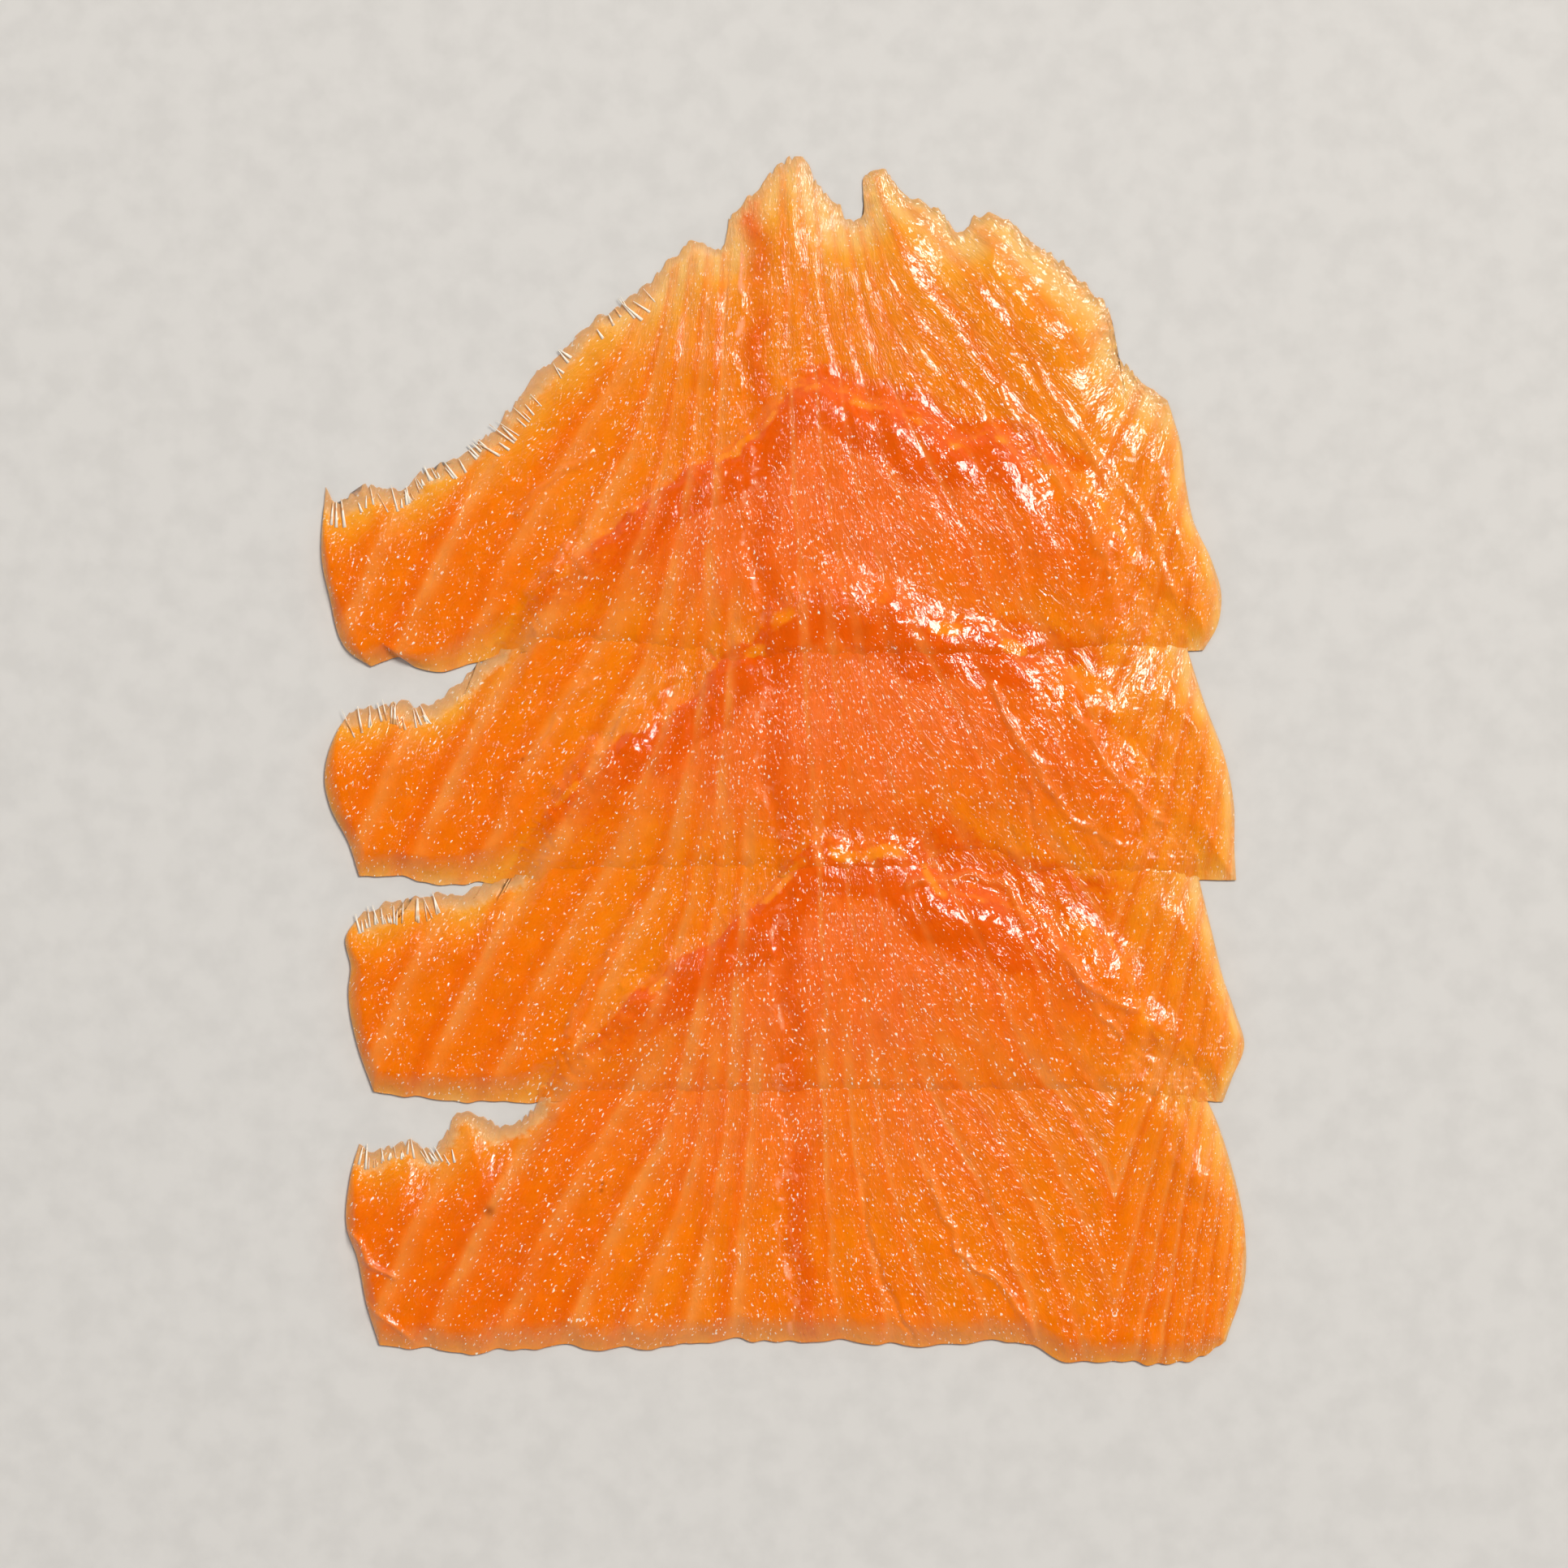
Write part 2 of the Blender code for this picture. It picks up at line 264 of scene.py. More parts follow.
# The drape is worked out on a raster this fine, over this half width and depth.
RASTER = 0.4 * MM
HALF_FIELD = (90.0 * MM, 116.0 * MM)
FIELD_SHAPE = tuple(int(round(2 * half / RASTER)) + 2 for half in reversed(HALF_FIELD))

# What the flesh material reads at each point: how much flesh lies there, how thin
# and torn it is, the dark band over a fold, painted shade where it goes on outside
# the hidden edge, the cloudy pink core, the fat between the flakes, the seam's
# threads and its painted shadow, the cloudy front, a painted highlight on the top
# of a fold, and brown specks.
MASKS = ("depth", "thin", "arch", "pink", "septum", "seam", "seam_dark", "haze", "bright", "speck")


def linear(text):
    """Linear RGB from an sRGB hex colour such as f27803."""
    parts = (int(text[k:k + 2], 16) / 255 for k in (0, 2, 4))
    return tuple(p / 12.92 if p <= 0.04045 else ((p + 0.055) / 1.055) ** 2.4 for p in parts)


def eased(values):
    """Smoothstep of values clipped to 0..1."""
    held = np.clip(values, 0.0, 1.0)
    return held * held * (3 - 2 * held)


def rises(values, start, reach):
    """0 up to the start, and from there smoothly up to 1 over the reach."""
    return eased((values - start) / reach)


def falls(values, start, reach):
    """1 up to the start, and from there smoothly down to 0 over the reach."""
    return 1 - eased((values - start) / reach)


def hump(away, width):
    """1 on a line, fading like a bell over about this width on both sides."""
    return np.exp(-(away / width) ** 2)


def cloud(x, y, cell, seed):
    """Smooth noise from 0 to 1 whose features are about one cell wide."""
    table = np.random.RandomState(seed).rand(64, 64)
    across = np.floor(x / cell).astype(int)
    deep = np.floor(y / cell).astype(int)
    u = eased(x / cell - across)
    v = eased(y / cell - deep)
    near, far = (
        table[row % 64, across % 64] * (1 - u) + table[row % 64, (across + 1) % 64] * u
        for row in (deep, deep + 1)
    )
    return near * (1 - v) + far * v


def layered(x, y, cell, seed, layers=3):
    """Several clouds, each half as wide and half as strong as the one before."""
    total = sum(cloud(x, y, cell / 2 ** k, seed + k) / 2 ** k for k in range(layers))
    return total / (2 - 2 ** (1 - layers))


def run_along(line):
    """How far along a line each of its points lies."""
    return np.concatenate([[0.0], np.cumsum(np.linalg.norm(np.diff(line, axis=0), axis=1))])


def rounded_line(points, steps=16):
    """Points in mm on a smooth curve through the given ones, without loops."""
    knots = np.array(points, dtype=float)
    length = run_along(knots)
    slope = np.gradient(knots, length, axis=0)
    line = []
    for k, span in enumerate(np.diff(length)):
        for u in np.arange(steps) / steps:
            ease = u * u * (3 - 2 * u)
            line.append(
                (1 - ease) * knots[k] + ease * knots[k + 1]
                + span * u * (1 - u) * ((1 - u) * slope[k] - u * slope[k + 1])
            )
    line.append(knots[-1])
    return np.array(line)


def spread_along(line, fractions, by_width=0.0):
    """Places on the line at these fractions of its length, or partly its width."""
    length = run_along(line)
    measure = (1 - by_width) * length / length[-1]
    if by_width:
        width = np.maximum.accumulate(line[:, 0] - line[0, 0])
        measure = measure + by_width * width / width[-1]
    return np.column_stack([np.interp(fractions, measure, line[:, k]) for k in (0, 1)])


def seam_place(y):
    """How far across the seam between the fillet's halves lies at a depth."""
    return -2.3 - 0.045 * y + 0.8 * np.sin(y / 4.7) + 0.45 * np.sin(y / 1.9 + 1.0)


def flake_foot(x, y, plan):
    """Where the flake line through a place would meet the front edge, in mm."""
    wander = 1.8 * (cloud(x, y, 17.0, 11) - 0.5) + 0.9 * (cloud(x, y, 5.0, 12) - 0.5)
    seam = seam_place(0 * y)
    leftward = eased((seam - x) / 24.0)
    rightward = eased((x - seam) / 26.0)
    left_foot = x - (LEFT_LEAN * y + LEFT_CURL * y ** 2) * leftward
    lean, rate = plan["arm"]
    past = np.maximum(x - BEND_LINE, 0.0)
    bend_y = y - past / lean - past ** 2 / 16.0
    bent = BEND_LINE + RIGHT_LEAN * y + RIGHT_CURL * y ** 2 + rate * (bend_y - y)
    unbent = x + (RIGHT_LEAN * y + RIGHT_CURL * y ** 2) * rightward
    return np.where(x < seam, left_foot, np.where(x > BEND_LINE, bent, unbent)) + wander


def nearest_line(foot):
    """Distance in mm from the nearest flake line, its sign, and its strength."""
    feet = np.array(LEFT_FEET + RIGHT_FEET)
    strengths = 0.5 + 0.5 * np.random.RandomState(5).rand(len(feet))
    gaps = foot[..., None] - feet
    index = np.abs(gaps).argmin(axis=-1)
    gap = np.take_along_axis(gaps, index[..., None], axis=-1)[..., 0]
    return gap / SLANT, np.interp(foot, feet, strengths)


def line_distance(local, line):
    """Distance in mm of every grid place from the nearest point of a line."""
    near = np.full(local.shape[:2], 1e9)
    for point in line:
        near = np.minimum(near, (local[..., 0] - point[0]) ** 2 + (local[..., 1] - point[1]) ** 2)
    return np.sqrt(near)


def slice_grid(name, settings):
    """Grid places in metres, and how far each is from the four edges, in mm."""
    plan = PLANS[name]
    across = np.linspace(0.0, 1.0, settings.cells_across + 1)
    even = np.linspace(0.0, 1.0, settings.cells_deep + 1)
    if name == BACK_SLICE:  # the cells are finest where the slice shows
        deep = 0.85 * even + 0.15 * (1 - (1 - even) ** 2)
    else:
        deep = 0.55 * even + 0.45 * even ** 2.2
    left_knots, right_knots = plan["left"], plan["right"]
    own = list(plan["back"])
    shared = [(x, y * plan["back_scale"]) for x, y in SHARED_BACK]
    middle = own + [knot for knot in shared if knot[0] > own[-1][0] + 4.0]
    front_line = rounded_line((left_knots[0],) + plan["front"] + (right_knots[0],))
    back_line = rounded_line([left_knots[-1]] + middle + [right_knots[-1]])
    front = spread_along(front_line, across)
    back = spread_along(back_line, across, by_width=0.35)
    left = spread_along(rounded_line(left_knots), deep)
    right = spread_along(rounded_line(right_knots), deep)

    # The back edge is torn: a comb of small teeth on shallow bites, and wide
    # bites where the edge lies under the next slice.
    run = run_along(back)
    seed = 30 + SLICE_NAMES.index(name)
    teeth = np.abs(cloud(run, 0 * run, TOOTH_SPACING, seed) - 0.5) * 2
    bites = layered(run, 0 * run, BITE_SPACING, seed + 10, 2) - 0.45
    tear = TOOTH_HEIGHT * teeth + BITE_DEPTH * bites - 0.8
    if name != BACK_SLICE:
        wide_bites = layered(run, 0 * run, WIDE_BITE_SPACING, seed + 40, 2) - 0.5
        tear = tear + WIDE_BITE_DEPTH * wide_bites * rises(run, 30.0, 12.0)
    back[:, 1] += tear * (rises(run, 0.0, 2.0) * eased((run[-1] - run) / 10.0))

    # The front edge bulges between the flake lines.
    gap, strength = nearest_line(flake_foot(front[:, 0], front[:, 1], plan))
    scallop = 0.5 * (1 - hump(gap, 2.2)) * strength - 0.3
    ripple = 0.5 * (cloud(front[:, 0], 0 * front[:, 0], 2.2, seed + 20) - 0.5)
    ends = eased(across / 0.02) * eased((1 - across) / 0.02)
    front[:, 1] -= (scallop * plan["scallop"] + ripple) * ends

    # The four edges are blended into a grid (a Coons patch).
    s = across[None, :, None]
    t = deep[:, None, None]
    corners = (
        (1 - s) * (1 - t) * front[0] + s * (1 - t) * front[-1]
        + (1 - s) * t * back[0] + s * t * back[-1]
    )
    local = (
        (1 - t) * front[None] + t * back[None]
        + (1 - s) * left[:, None] + s * right[:, None] - corners
    )
    edges = {
        "front": np.linalg.norm(local - local[:1], axis=2),
        "back": np.linalg.norm(local - local[-1:], axis=2),
        "left": np.linalg.norm(local - local[:, :1], axis=2),
        "right": np.linalg.norm(local - local[:, -1:], axis=2),
    }
    edges["back"] = np.minimum(edges["back"], line_distance(local, back[::3]))
    return (local + np.array(plan["at"])) * MM, local, edges


def grow(distance, edge, reach, power=0.5):
    """Share of full thickness at a distance from an edge, round to the full."""
    return edge + (1 - edge) * eased(distance / reach) ** power


def slice_thickness(name, local, edges, covered, settings):
    """Thickness of a slice in mm at every grid place, without its relief."""
    full = settings.thickness / MM
    x, y = local[..., 0], local[..., 1]
    # Under the next slice the back edge stays thicker, to show through that one.
    tucked = hidden = 0.0
    if name != BACK_SLICE:
        tucked = rises(x, -50.0, 10.0) * falls(x, 34.0, 16.0)
        hidden = rises(y, 26.0, 12.0)
    # The front edge runs out in a long wedge on the slice below, without a step.
    wedge = 5.0 + covered * (15.0 + 10.0 * layered(x, y, 14.0, 42))
    share = np.minimum.reduce([
        grow(edges["front"], (0.4 - 0.38 * covered) / full, wedge, 0.7),
        grow(edges["back"], (0.12 + 0.5 * tucked) / full, 12.0 - 7.5 * tucked, 0.8),
        grow(edges["left"], 0.5 / full, 2.8),
        grow(edges["right"], 0.3 / full, 5.5 + 12.0 * hidden, 0.6),
    ])
    return share * (full + 0.5 * (layered(x, y, 22.0, 41) - 0.5))


def crease_marks(name, local):
    """Height in mm of the creases and lumps, and how strongly they show."""
    x, y = local[..., 0], local[..., 1]
    height = np.zeros(x.shape)
    shown = np.zeros(x.shape)
    wobble = np.stack([cloud(x, y, 3.0, 91) - 0.5, cloud(x, y, 3.0, 92) - 0.5], axis=-1) * 1.6
    for points, width, rise in PLANS[name]["creases"]:
        ridge = hump(line_distance(local + wobble, rounded_line(points, 24)), width)
        height = height + rise * ridge
        if width < WIDE_CREASE:
            shown = np.maximum(shown, ridge)
    for at_x, at_y, wide, deep, rise in PLANS[name]["lumps"]:
        spot = ((x - at_x) / wide) ** 2 + ((y - at_y) / deep) ** 2
        height = height + rise * np.exp(-spot ** 1.5)
    return height, shown


def flake_relief(name, local, share):
    """Grooves at the flake lines and the seam, swells and wrinkles, in mm."""
    x, y = local[..., 0], local[..., 1]
    foot = flake_foot(x, y, PLANS[name])
    gap, strength = nearest_line(foot)
    strength = strength * (0.35 + 0.65 * eased(2.2 * layered(x, y, 9.0, 51) - 0.5))
    groove = -0.14 * hump(gap, 0.5)
    swell = 0.2 * (1 - hump(gap, 2.6))
    off_seam = x - seam_place(y)
    knots = eased(3.4 * cloud(x, y, 1.6, 55) - 1.8)
    seam = -0.22 * hump(off_seam - 0.8, 1.2) + 0.25 * hump(off_seam + 0.4, 0.6) * knots
    livelier = 0.7 + 0.45 * rises(x, 18.0, 20.0)
    waves = 0.34 * (layered(x, y, 13.0, 61) - 0.5)
    ribs = 0.26 * (cloud(foot, 0.35 * y, 2.3, 62) - 0.5) * livelier
    fine = 0.11 * (cloud(foot, 0.5 * y, 1.1, 63) - 0.5) * livelier
    marks, _ = crease_marks(name, local)
    relief = strength * (groove + swell) + seam + waves + ribs + fine + marks
    return relief * np.clip(share * 1.3, 0.0, 1.0)


def crinkle(local, places, bottom, edges):
    """Fine creases, in mm, where a slice bends over an edge below it and at its hem."""
    slope = np.hypot(*(
        np.gradient(bottom, axis=axis)
        / np.maximum(np.gradient(places[..., 1 - axis], axis=axis), 1e-6)
        for axis in (0, 1)
    ))
    x, y = local[..., 0], local[..., 1]
    hem = 1.7 * falls(edges["back"], 1.0, 6.0) * rises(x, 12.0, 12.0)
    steep = np.maximum(eased(slope / 0.25), hem)
    creases = np.abs(cloud(x + 0.5 * y, 0.5 * y, 1.7, 81) - 0.5)
    creases = creases + 0.6 * np.abs(cloud(x + 0.4 * y, y, 1.1, 82) - 0.5)
    return 0.42 * steep * (creases - 0.35)


def raster_index(places):
    """Row and column of the raster cell that each place falls in."""
    column = np.rint((places[..., 0] + HALF_FIELD[0]) / RASTER).astype(int)
    row = np.rint((places[..., 1] + HALF_FIELD[1]) / RASTER).astype(int)
    return row, column


def read_raster(field, places):
    """Raster values at places, blended between the four nearest cells."""
    gx = (places[..., 0] + HALF_FIELD[0]) / RASTER
    gy = (places[..., 1] + HALF_FIELD[1]) / RASTER
    column, row = np.floor(gx).astype(int), np.floor(gy).astype(int)
    u, v = gx - column, gy - row
    near = field[row, column] * (1 - u) + field[row, column + 1] * u
    far = field[row + 1, column] * (1 - u) + field[row + 1, column + 1] * u
    return near * (1 - v) + far * v


def spread_highest(field, distance):
    """Raise every raster cell to the highest one within this distance."""
    for axis in (0, 1):
        wide = field.copy()
        for shift in range(1, int(round(distance / RASTER)) + 1):
            for way in (shift, -shift):
                wide = np.maximum(wide, np.roll(field, way, axis))
        field = wide
    return field


def soften(field, distance):
    """Blur the raster over about this distance."""
    count = max(1, int(round(distance / RASTER)))
    for axis in (0, 1, 0, 1):
        total = field.copy()
        for shift in range(1, count + 1):
            total = total + np.roll(field, shift, axis) + np.roll(field, -shift, axis)
        field = total / (2 * count + 1)
    return field


def stamp(places, values):
    """Raster of grid values, with the cells the slice covers filled in."""
    field = np.zeros(FIELD_SHAPE)
    for v in (0.0, 0.5):
        for u in (0.0, 0.5):
            spots = blend_cells(places, u, v)
            np.maximum.at(field, raster_index(spots), blend_cells(values, u, v))
    return spread_highest(field, RASTER)


def blend_cells(grid, u, v):
    """Grid values part of the way across every cell."""
    near = (1 - u) * grid[:-1, :-1] + u * grid[:-1, 1:]
    far = (1 - u) * grid[1:, :-1] + u * grid[1:, 1:]
    return (1 - v) * near + v * far


def drape(name, grid, ground, laid, covered, settings):
    """Lower and upper face of a slice laid on the ground, in metres, and its thickness.

    It bridges what lies below in a soft bend, and its front edge hugs it.
    """
    places, local, edges = grid
    mostly = read_raster(soften(laid, 4.0 * MM), places)
    thickness = slice_thickness(name, local, edges, mostly, settings)
    relief = flake_relief(name, local, thickness / (settings.thickness / MM))
    bed = soften(spread_highest(ground, 0.8 * MM), settings.drape)
    direct = read_raster(ground, places)
    bridging = eased(edges["front"] / (7.0 + 12.0 * mostly))
    bottom = read_raster(bed, places) * bridging + direct * (1 - bridging)
    behind_front = rises(edges["front"], 0.0, 4.0)
    sunk = (settings.gap + FRONT_SINKS) * (1 - behind_front) * covered
    bottom = np.maximum(np.maximum(bottom, direct) - sunk, 0.0)
    relief = relief + crinkle(local, places, bottom, edges) * behind_front
    top = bottom + np.maximum(thickness + relief, LEAST_THICKNESS) * MM
    return bottom, top, thickness


def fold_masks(x, y, margin, beside):
    """The dark band over the hidden edge of the slice below, and a painted highlight
    along the top of that edge.

    The band lies inside that edge, and right of the seam it goes on outside it as
    painted shade.
    """
    band = 4.5 + 6.0 * layered(x, y, 8.0, 77, 2)
    inside = rises(margin, 0.0, 0.7)
    arch = inside * falls(margin, band, 2.6) * (1 - 0.85 * rises(x, 38.0, 14.0))
    # Right of the seam the band goes on outside the hidden edge as painted shade.
    outside = eased(beside) * (1 - inside) * rises(x, 0.0, 8.0) * falls(x, 52.0, 10.0)
    # A painted highlight along the top of the hidden edge.
    painted_crest = inside * falls(margin, 1.0, 1.2) * eased(3.2 * cloud(x, y, 4.0, 78) - 1.3)
    return np.maximum(arch, 0.75 * outside), painted_crest


def edge_masks(x, y, edges):
    """The torn membrane at the back edge, and pale stripes along the right edge."""
    past_peak = rises(x, -24.0, 8.0)
    width = 0.8 + 3.2 * cloud(x, y, 5.0, 72) * (1 - 0.5 * past_peak)
    membrane = (1 - (edges["back"] - 0.3) / (width + 1.4)) * (1 - 0.35 * past_peak)
    hem = 0.6 * falls(edges["right"], 0.3, 1.1) * eased(0.2 + cloud(x, y, 7.0, 79))
    stripes = cloud(1.8 * edges["right"], 0.1 * y, 1.3, 73)
    rim = falls(edges["right"], 0.8, 6.5) * (0.1 + 1.1 * stripes)
    return np.clip(np.maximum(membrane, hem), 0.0, 1.0), rim


def fat_masks(name, local, runs):
    """The pale fat between the flakes, and the darker strip in its lee.

    The fat is broad on the left of the seam and lies in thin lines on the right.
    """
    plan = PLANS[name]
    x, y = local[..., 0], local[..., 1]
    gap, strength = nearest_line(flake_foot(x, y, plan))
    leftward = x < 0.0
    width = np.where(leftward, 0.9, plan["fat_width"]) * np.where(gap > 0.0, 2.0, 1.0)
    fat = 1.2 * strength * hump(gap, width) * (0.35 + 0.65 * runs)
    if name != FRONT_SLICE:
        fat = fat * (1 - 0.4 * rises(x, 0.0, 8.0))
    _, creased = crease_marks(name, local)
    lee = strength * hump(gap + np.where(leftward, 2.4, 1.2), 1.5) * 0.6
    return np.maximum(fat, 0.4 * creased), lee


def seam_masks(x, y, runs):
    """The seam's knotted thread with thin branches, and its painted shadow beside it."""
    off_seam = x - seam_place(y)
    knots = eased(3.6 * cloud(x, 0.6 * y, 2.2, 55) - 1.8) * (0.45 + 0.55 * runs)
    branch = np.abs(cloud(x, y, 3.0, 56) - 0.5) * 9.0
    branches = 0.45 * (1 - eased(branch)) * hump(off_seam - 1.0, 3.0) * runs
    seam = np.maximum(hump(off_seam + 0.3, 0.65) * knots, branches)
    return seam, hump(off_seam - 3.0, 2.4) * (0.35 + 0.65 * runs)


def slice_masks(name, places, local, edges, thickness, below, settings):
    """What the flesh material reads at every grid place, each from 0 to 1."""
    in_front = name == FRONT_SLICE
    full = settings.thickness / MM
    x, y = local[..., 0], local[..., 1]
    own = np.clip(thickness / full, 0.0, 1.0)
    patchy = layered(x, y, 10.0, 71)
    nothing = np.zeros_like(own)
    under = nothing
    for layer in below:
        under = under + read_raster(layer["thickness"], places) / full
    margin = read_raster(below[0]["inward"], places) if below else nothing
    beside = read_raster(below[0]["beside"], places) if below else nothing
    arch, painted_crest = fold_masks(x, y, margin, beside)
    thin, rim = edge_masks(x, y, edges)
    runs = eased(2.4 * layered(x, y, 8.0, 74) - 0.55)
    fat, lee = fat_masks(name, local, runs)
    seam, seam_dark = seam_masks(x, y, runs)

    # The more flesh lies at a place, in layers, the deeper its orange. The core of
    # a double layer is cloudy and pink.
    pale = falls(edges["back"], 3.0, 26.0) * falls(-x, 12.0, 25.0)
    alone = 0.18 if in_front else 0.0
    depth = own * (0.84 + 0.28 * rises(-x, 20.0, 35.0)) + 0.34 * (patchy - 0.5) - 0.26 * pale
    depth = depth + 0.62 * np.minimum(under, 1.6) + alone * (1 - np.minimum(under, 1.0))
    depth = np.clip(depth / 2.4 - 0.12 * rim, 0.0, 1.0)
    core = np.exp(-((x - 6.0) / 40.0) ** 4)
    doubled = rises(np.minimum(under, 1.0), 0.5, 0.35) if below else 0.6 * rises(y, 20.0, 20.0)
    pink = core * doubled * (1 - arch) * (0.35 + 1.3 * (patchy - 0.25))

    haze_height = 3.0 + 5.0 * layered(x, y, 9.0, 75)
    haze = falls(edges["front"], 0.6, haze_height) * (1 - 0.7 * rises(x, 30.0, 20.0))
    speck = nothing
    for at_x, at_y, radius in PLANS[name]["specks"]:
        speck = np.maximum(speck, hump(np.hypot(x - at_x, y - at_y), radius))
    values = (
        depth, thin, arch * (0.7 + 0.5 * patchy), pink, fat * (1 - thin), seam,
        np.maximum(seam_dark, lee), haze if in_front else 0.5 * haze, painted_crest, speck,
    )
    return {mask: np.clip(value, 0.0, 1.0) for mask, value in zip(MASKS, values)}


def blend_front(masks, seen, covered, local, edges):
    """Towards its front edge a slice on another thins out and takes that one's looks."""
    reach = 9.0 + 15.0 * layered(local[..., 0], local[..., 1], 9.0, 76)
    kept = 1 - covered * falls(edges["front"], 3.0, reach)
    seen = dict(seen, depth=np.maximum(seen["depth"], masks["depth"]), thin=masks["thin"])
    return {mask: kept * masks[mask] + (1 - kept) * seen[mask] for mask in MASKS}


def slice_mesh(name, places, bottom, top, stride):
    """A closed sheet with a fine upper face, a coarse lower one and a rim."""
    deep, across = top.shape[0] - 1, top.shape[1] - 1
    upper = np.arange(top.size).reshape(top.shape)
    rows, columns = np.meshgrid(np.arange(deep + 1), np.arange(across + 1), indexing="ij")
    on_rim = (rows == 0) | (rows == deep) | (columns == 0) | (columns == across)
    kept = on_rim | ((rows % stride == 0) & (columns % stride == 0))
    lower = np.full(top.shape, -1)
    lower[kept] = top.size + np.arange(kept.sum())
    points = np.vstack([
        np.column_stack([places.reshape(-1, 2), top.reshape(-1)]),
        np.column_stack([places[kept], bottom[kept]]),
    ])
    faces = np.stack([upper[:-1, :-1], upper[:-1, 1:], upper[1:, 1:], upper[1:, :-1]], axis=-1)
    faces = faces.reshape(-1, 4).tolist()
    for j in range(across):
        faces.append((lower[0, j], lower[0, j + 1], upper[0, j + 1], upper[0, j]))
        faces.append((lower[deep, j + 1], lower[deep, j], upper[deep, j], upper[deep, j + 1]))
    for i in range(deep):
        k = i + 1
        faces.append((lower[k, 0], lower[i, 0], upper[i, 0], upper[k, 0]))
        faces.append((lower[i, across], lower[k, across], upper[k, across], upper[i, across]))

    # A coarse cell at the rim takes in all the fine points on its outer side.
    for i in range(0, deep, stride):
        for j in range(0, across, stride):
            ring = [lower[k, j] for k in range(i, i + stride)]
            ring += [lower[i + stride, k] for k in range(j, j + stride)]
            ring += [lower[k, j + stride] for k in range(i + stride, i, -1)]
            ring += [lower[i, k] for k in range(j + stride, j, -1)]
            faces.append([point for point in ring if point >= 0])
    mesh = bpy.data.meshes.new(name)
    mesh.from_pydata(points.tolist(), [], faces)
    mesh.polygons.foreach_set("use_smooth", [True] * len(mesh.polygons))
    mesh.update()
    return mesh, kept


def write_fields(mesh, fields, grain, kept):
    """Store the masks and the grain direction on the mesh's points."""
    for name, values in fields.items():
        layer = mesh.attributes.new(name, "FLOAT", "POINT")
        layer.data.foreach_set("value", np.concatenate([values.reshape(-1), values[kept]]))
    layer = mesh.attributes.new("grain", "FLOAT_VECTOR", "POINT")
    layer.data.foreach_set("vector", np.vstack([grain.reshape(-1, 3), grain[kept]]).reshape(-1))


def add_node(tree, kind, inputs=None, stops=None, **settings):
    """Add a node, set its properties and ramp stops, and set or link its inputs."""
    made = tree.nodes.new(kind)
    for name, value in settings.items():
        setattr(made, name, value)
    for key, value in (inputs or {}).items():
        if isinstance(value, bpy.types.NodeSocket):
            tree.links.new(value, made.inputs[key])
        else:
            made.inputs[key].default_value = value
    if stops:
        elements = made.color_ramp.elements
        while len(elements) > 1:
            elements.remove(elements[-1])
        for number, (place, colour) in enumerate(stops):
            element = elements[0] if number == 0 else elements.new(place)
            element.position = place
            element.color = colour
    return made


def opaque(colour):
    """RGBA from a colour setting."""
    return tuple(colour) + (1.0,)


def weighted(tree, start, *terms):
    """Socket that holds a start value plus other sockets times their weights."""
    for socket, weight in terms:
        start = add_node(
            tree, "ShaderNodeMath", {0: socket, 1: weight, 2: start}, operation="MULTIPLY_ADD",
        ).outputs[0]
    return start


def lay_colours(tree, body, layers):
    """Lay colours over a body, each as strongly as its mask times its strength."""
    for mask, strength, colour in layers:
        share = weighted(tree, 0.0, (mask, strength))
        body = add_node(
            tree, "ShaderNodeMix", {0: share, 6: body, 7: opaque(colour)}, data_type="RGBA",
        ).outputs[2]
    return body


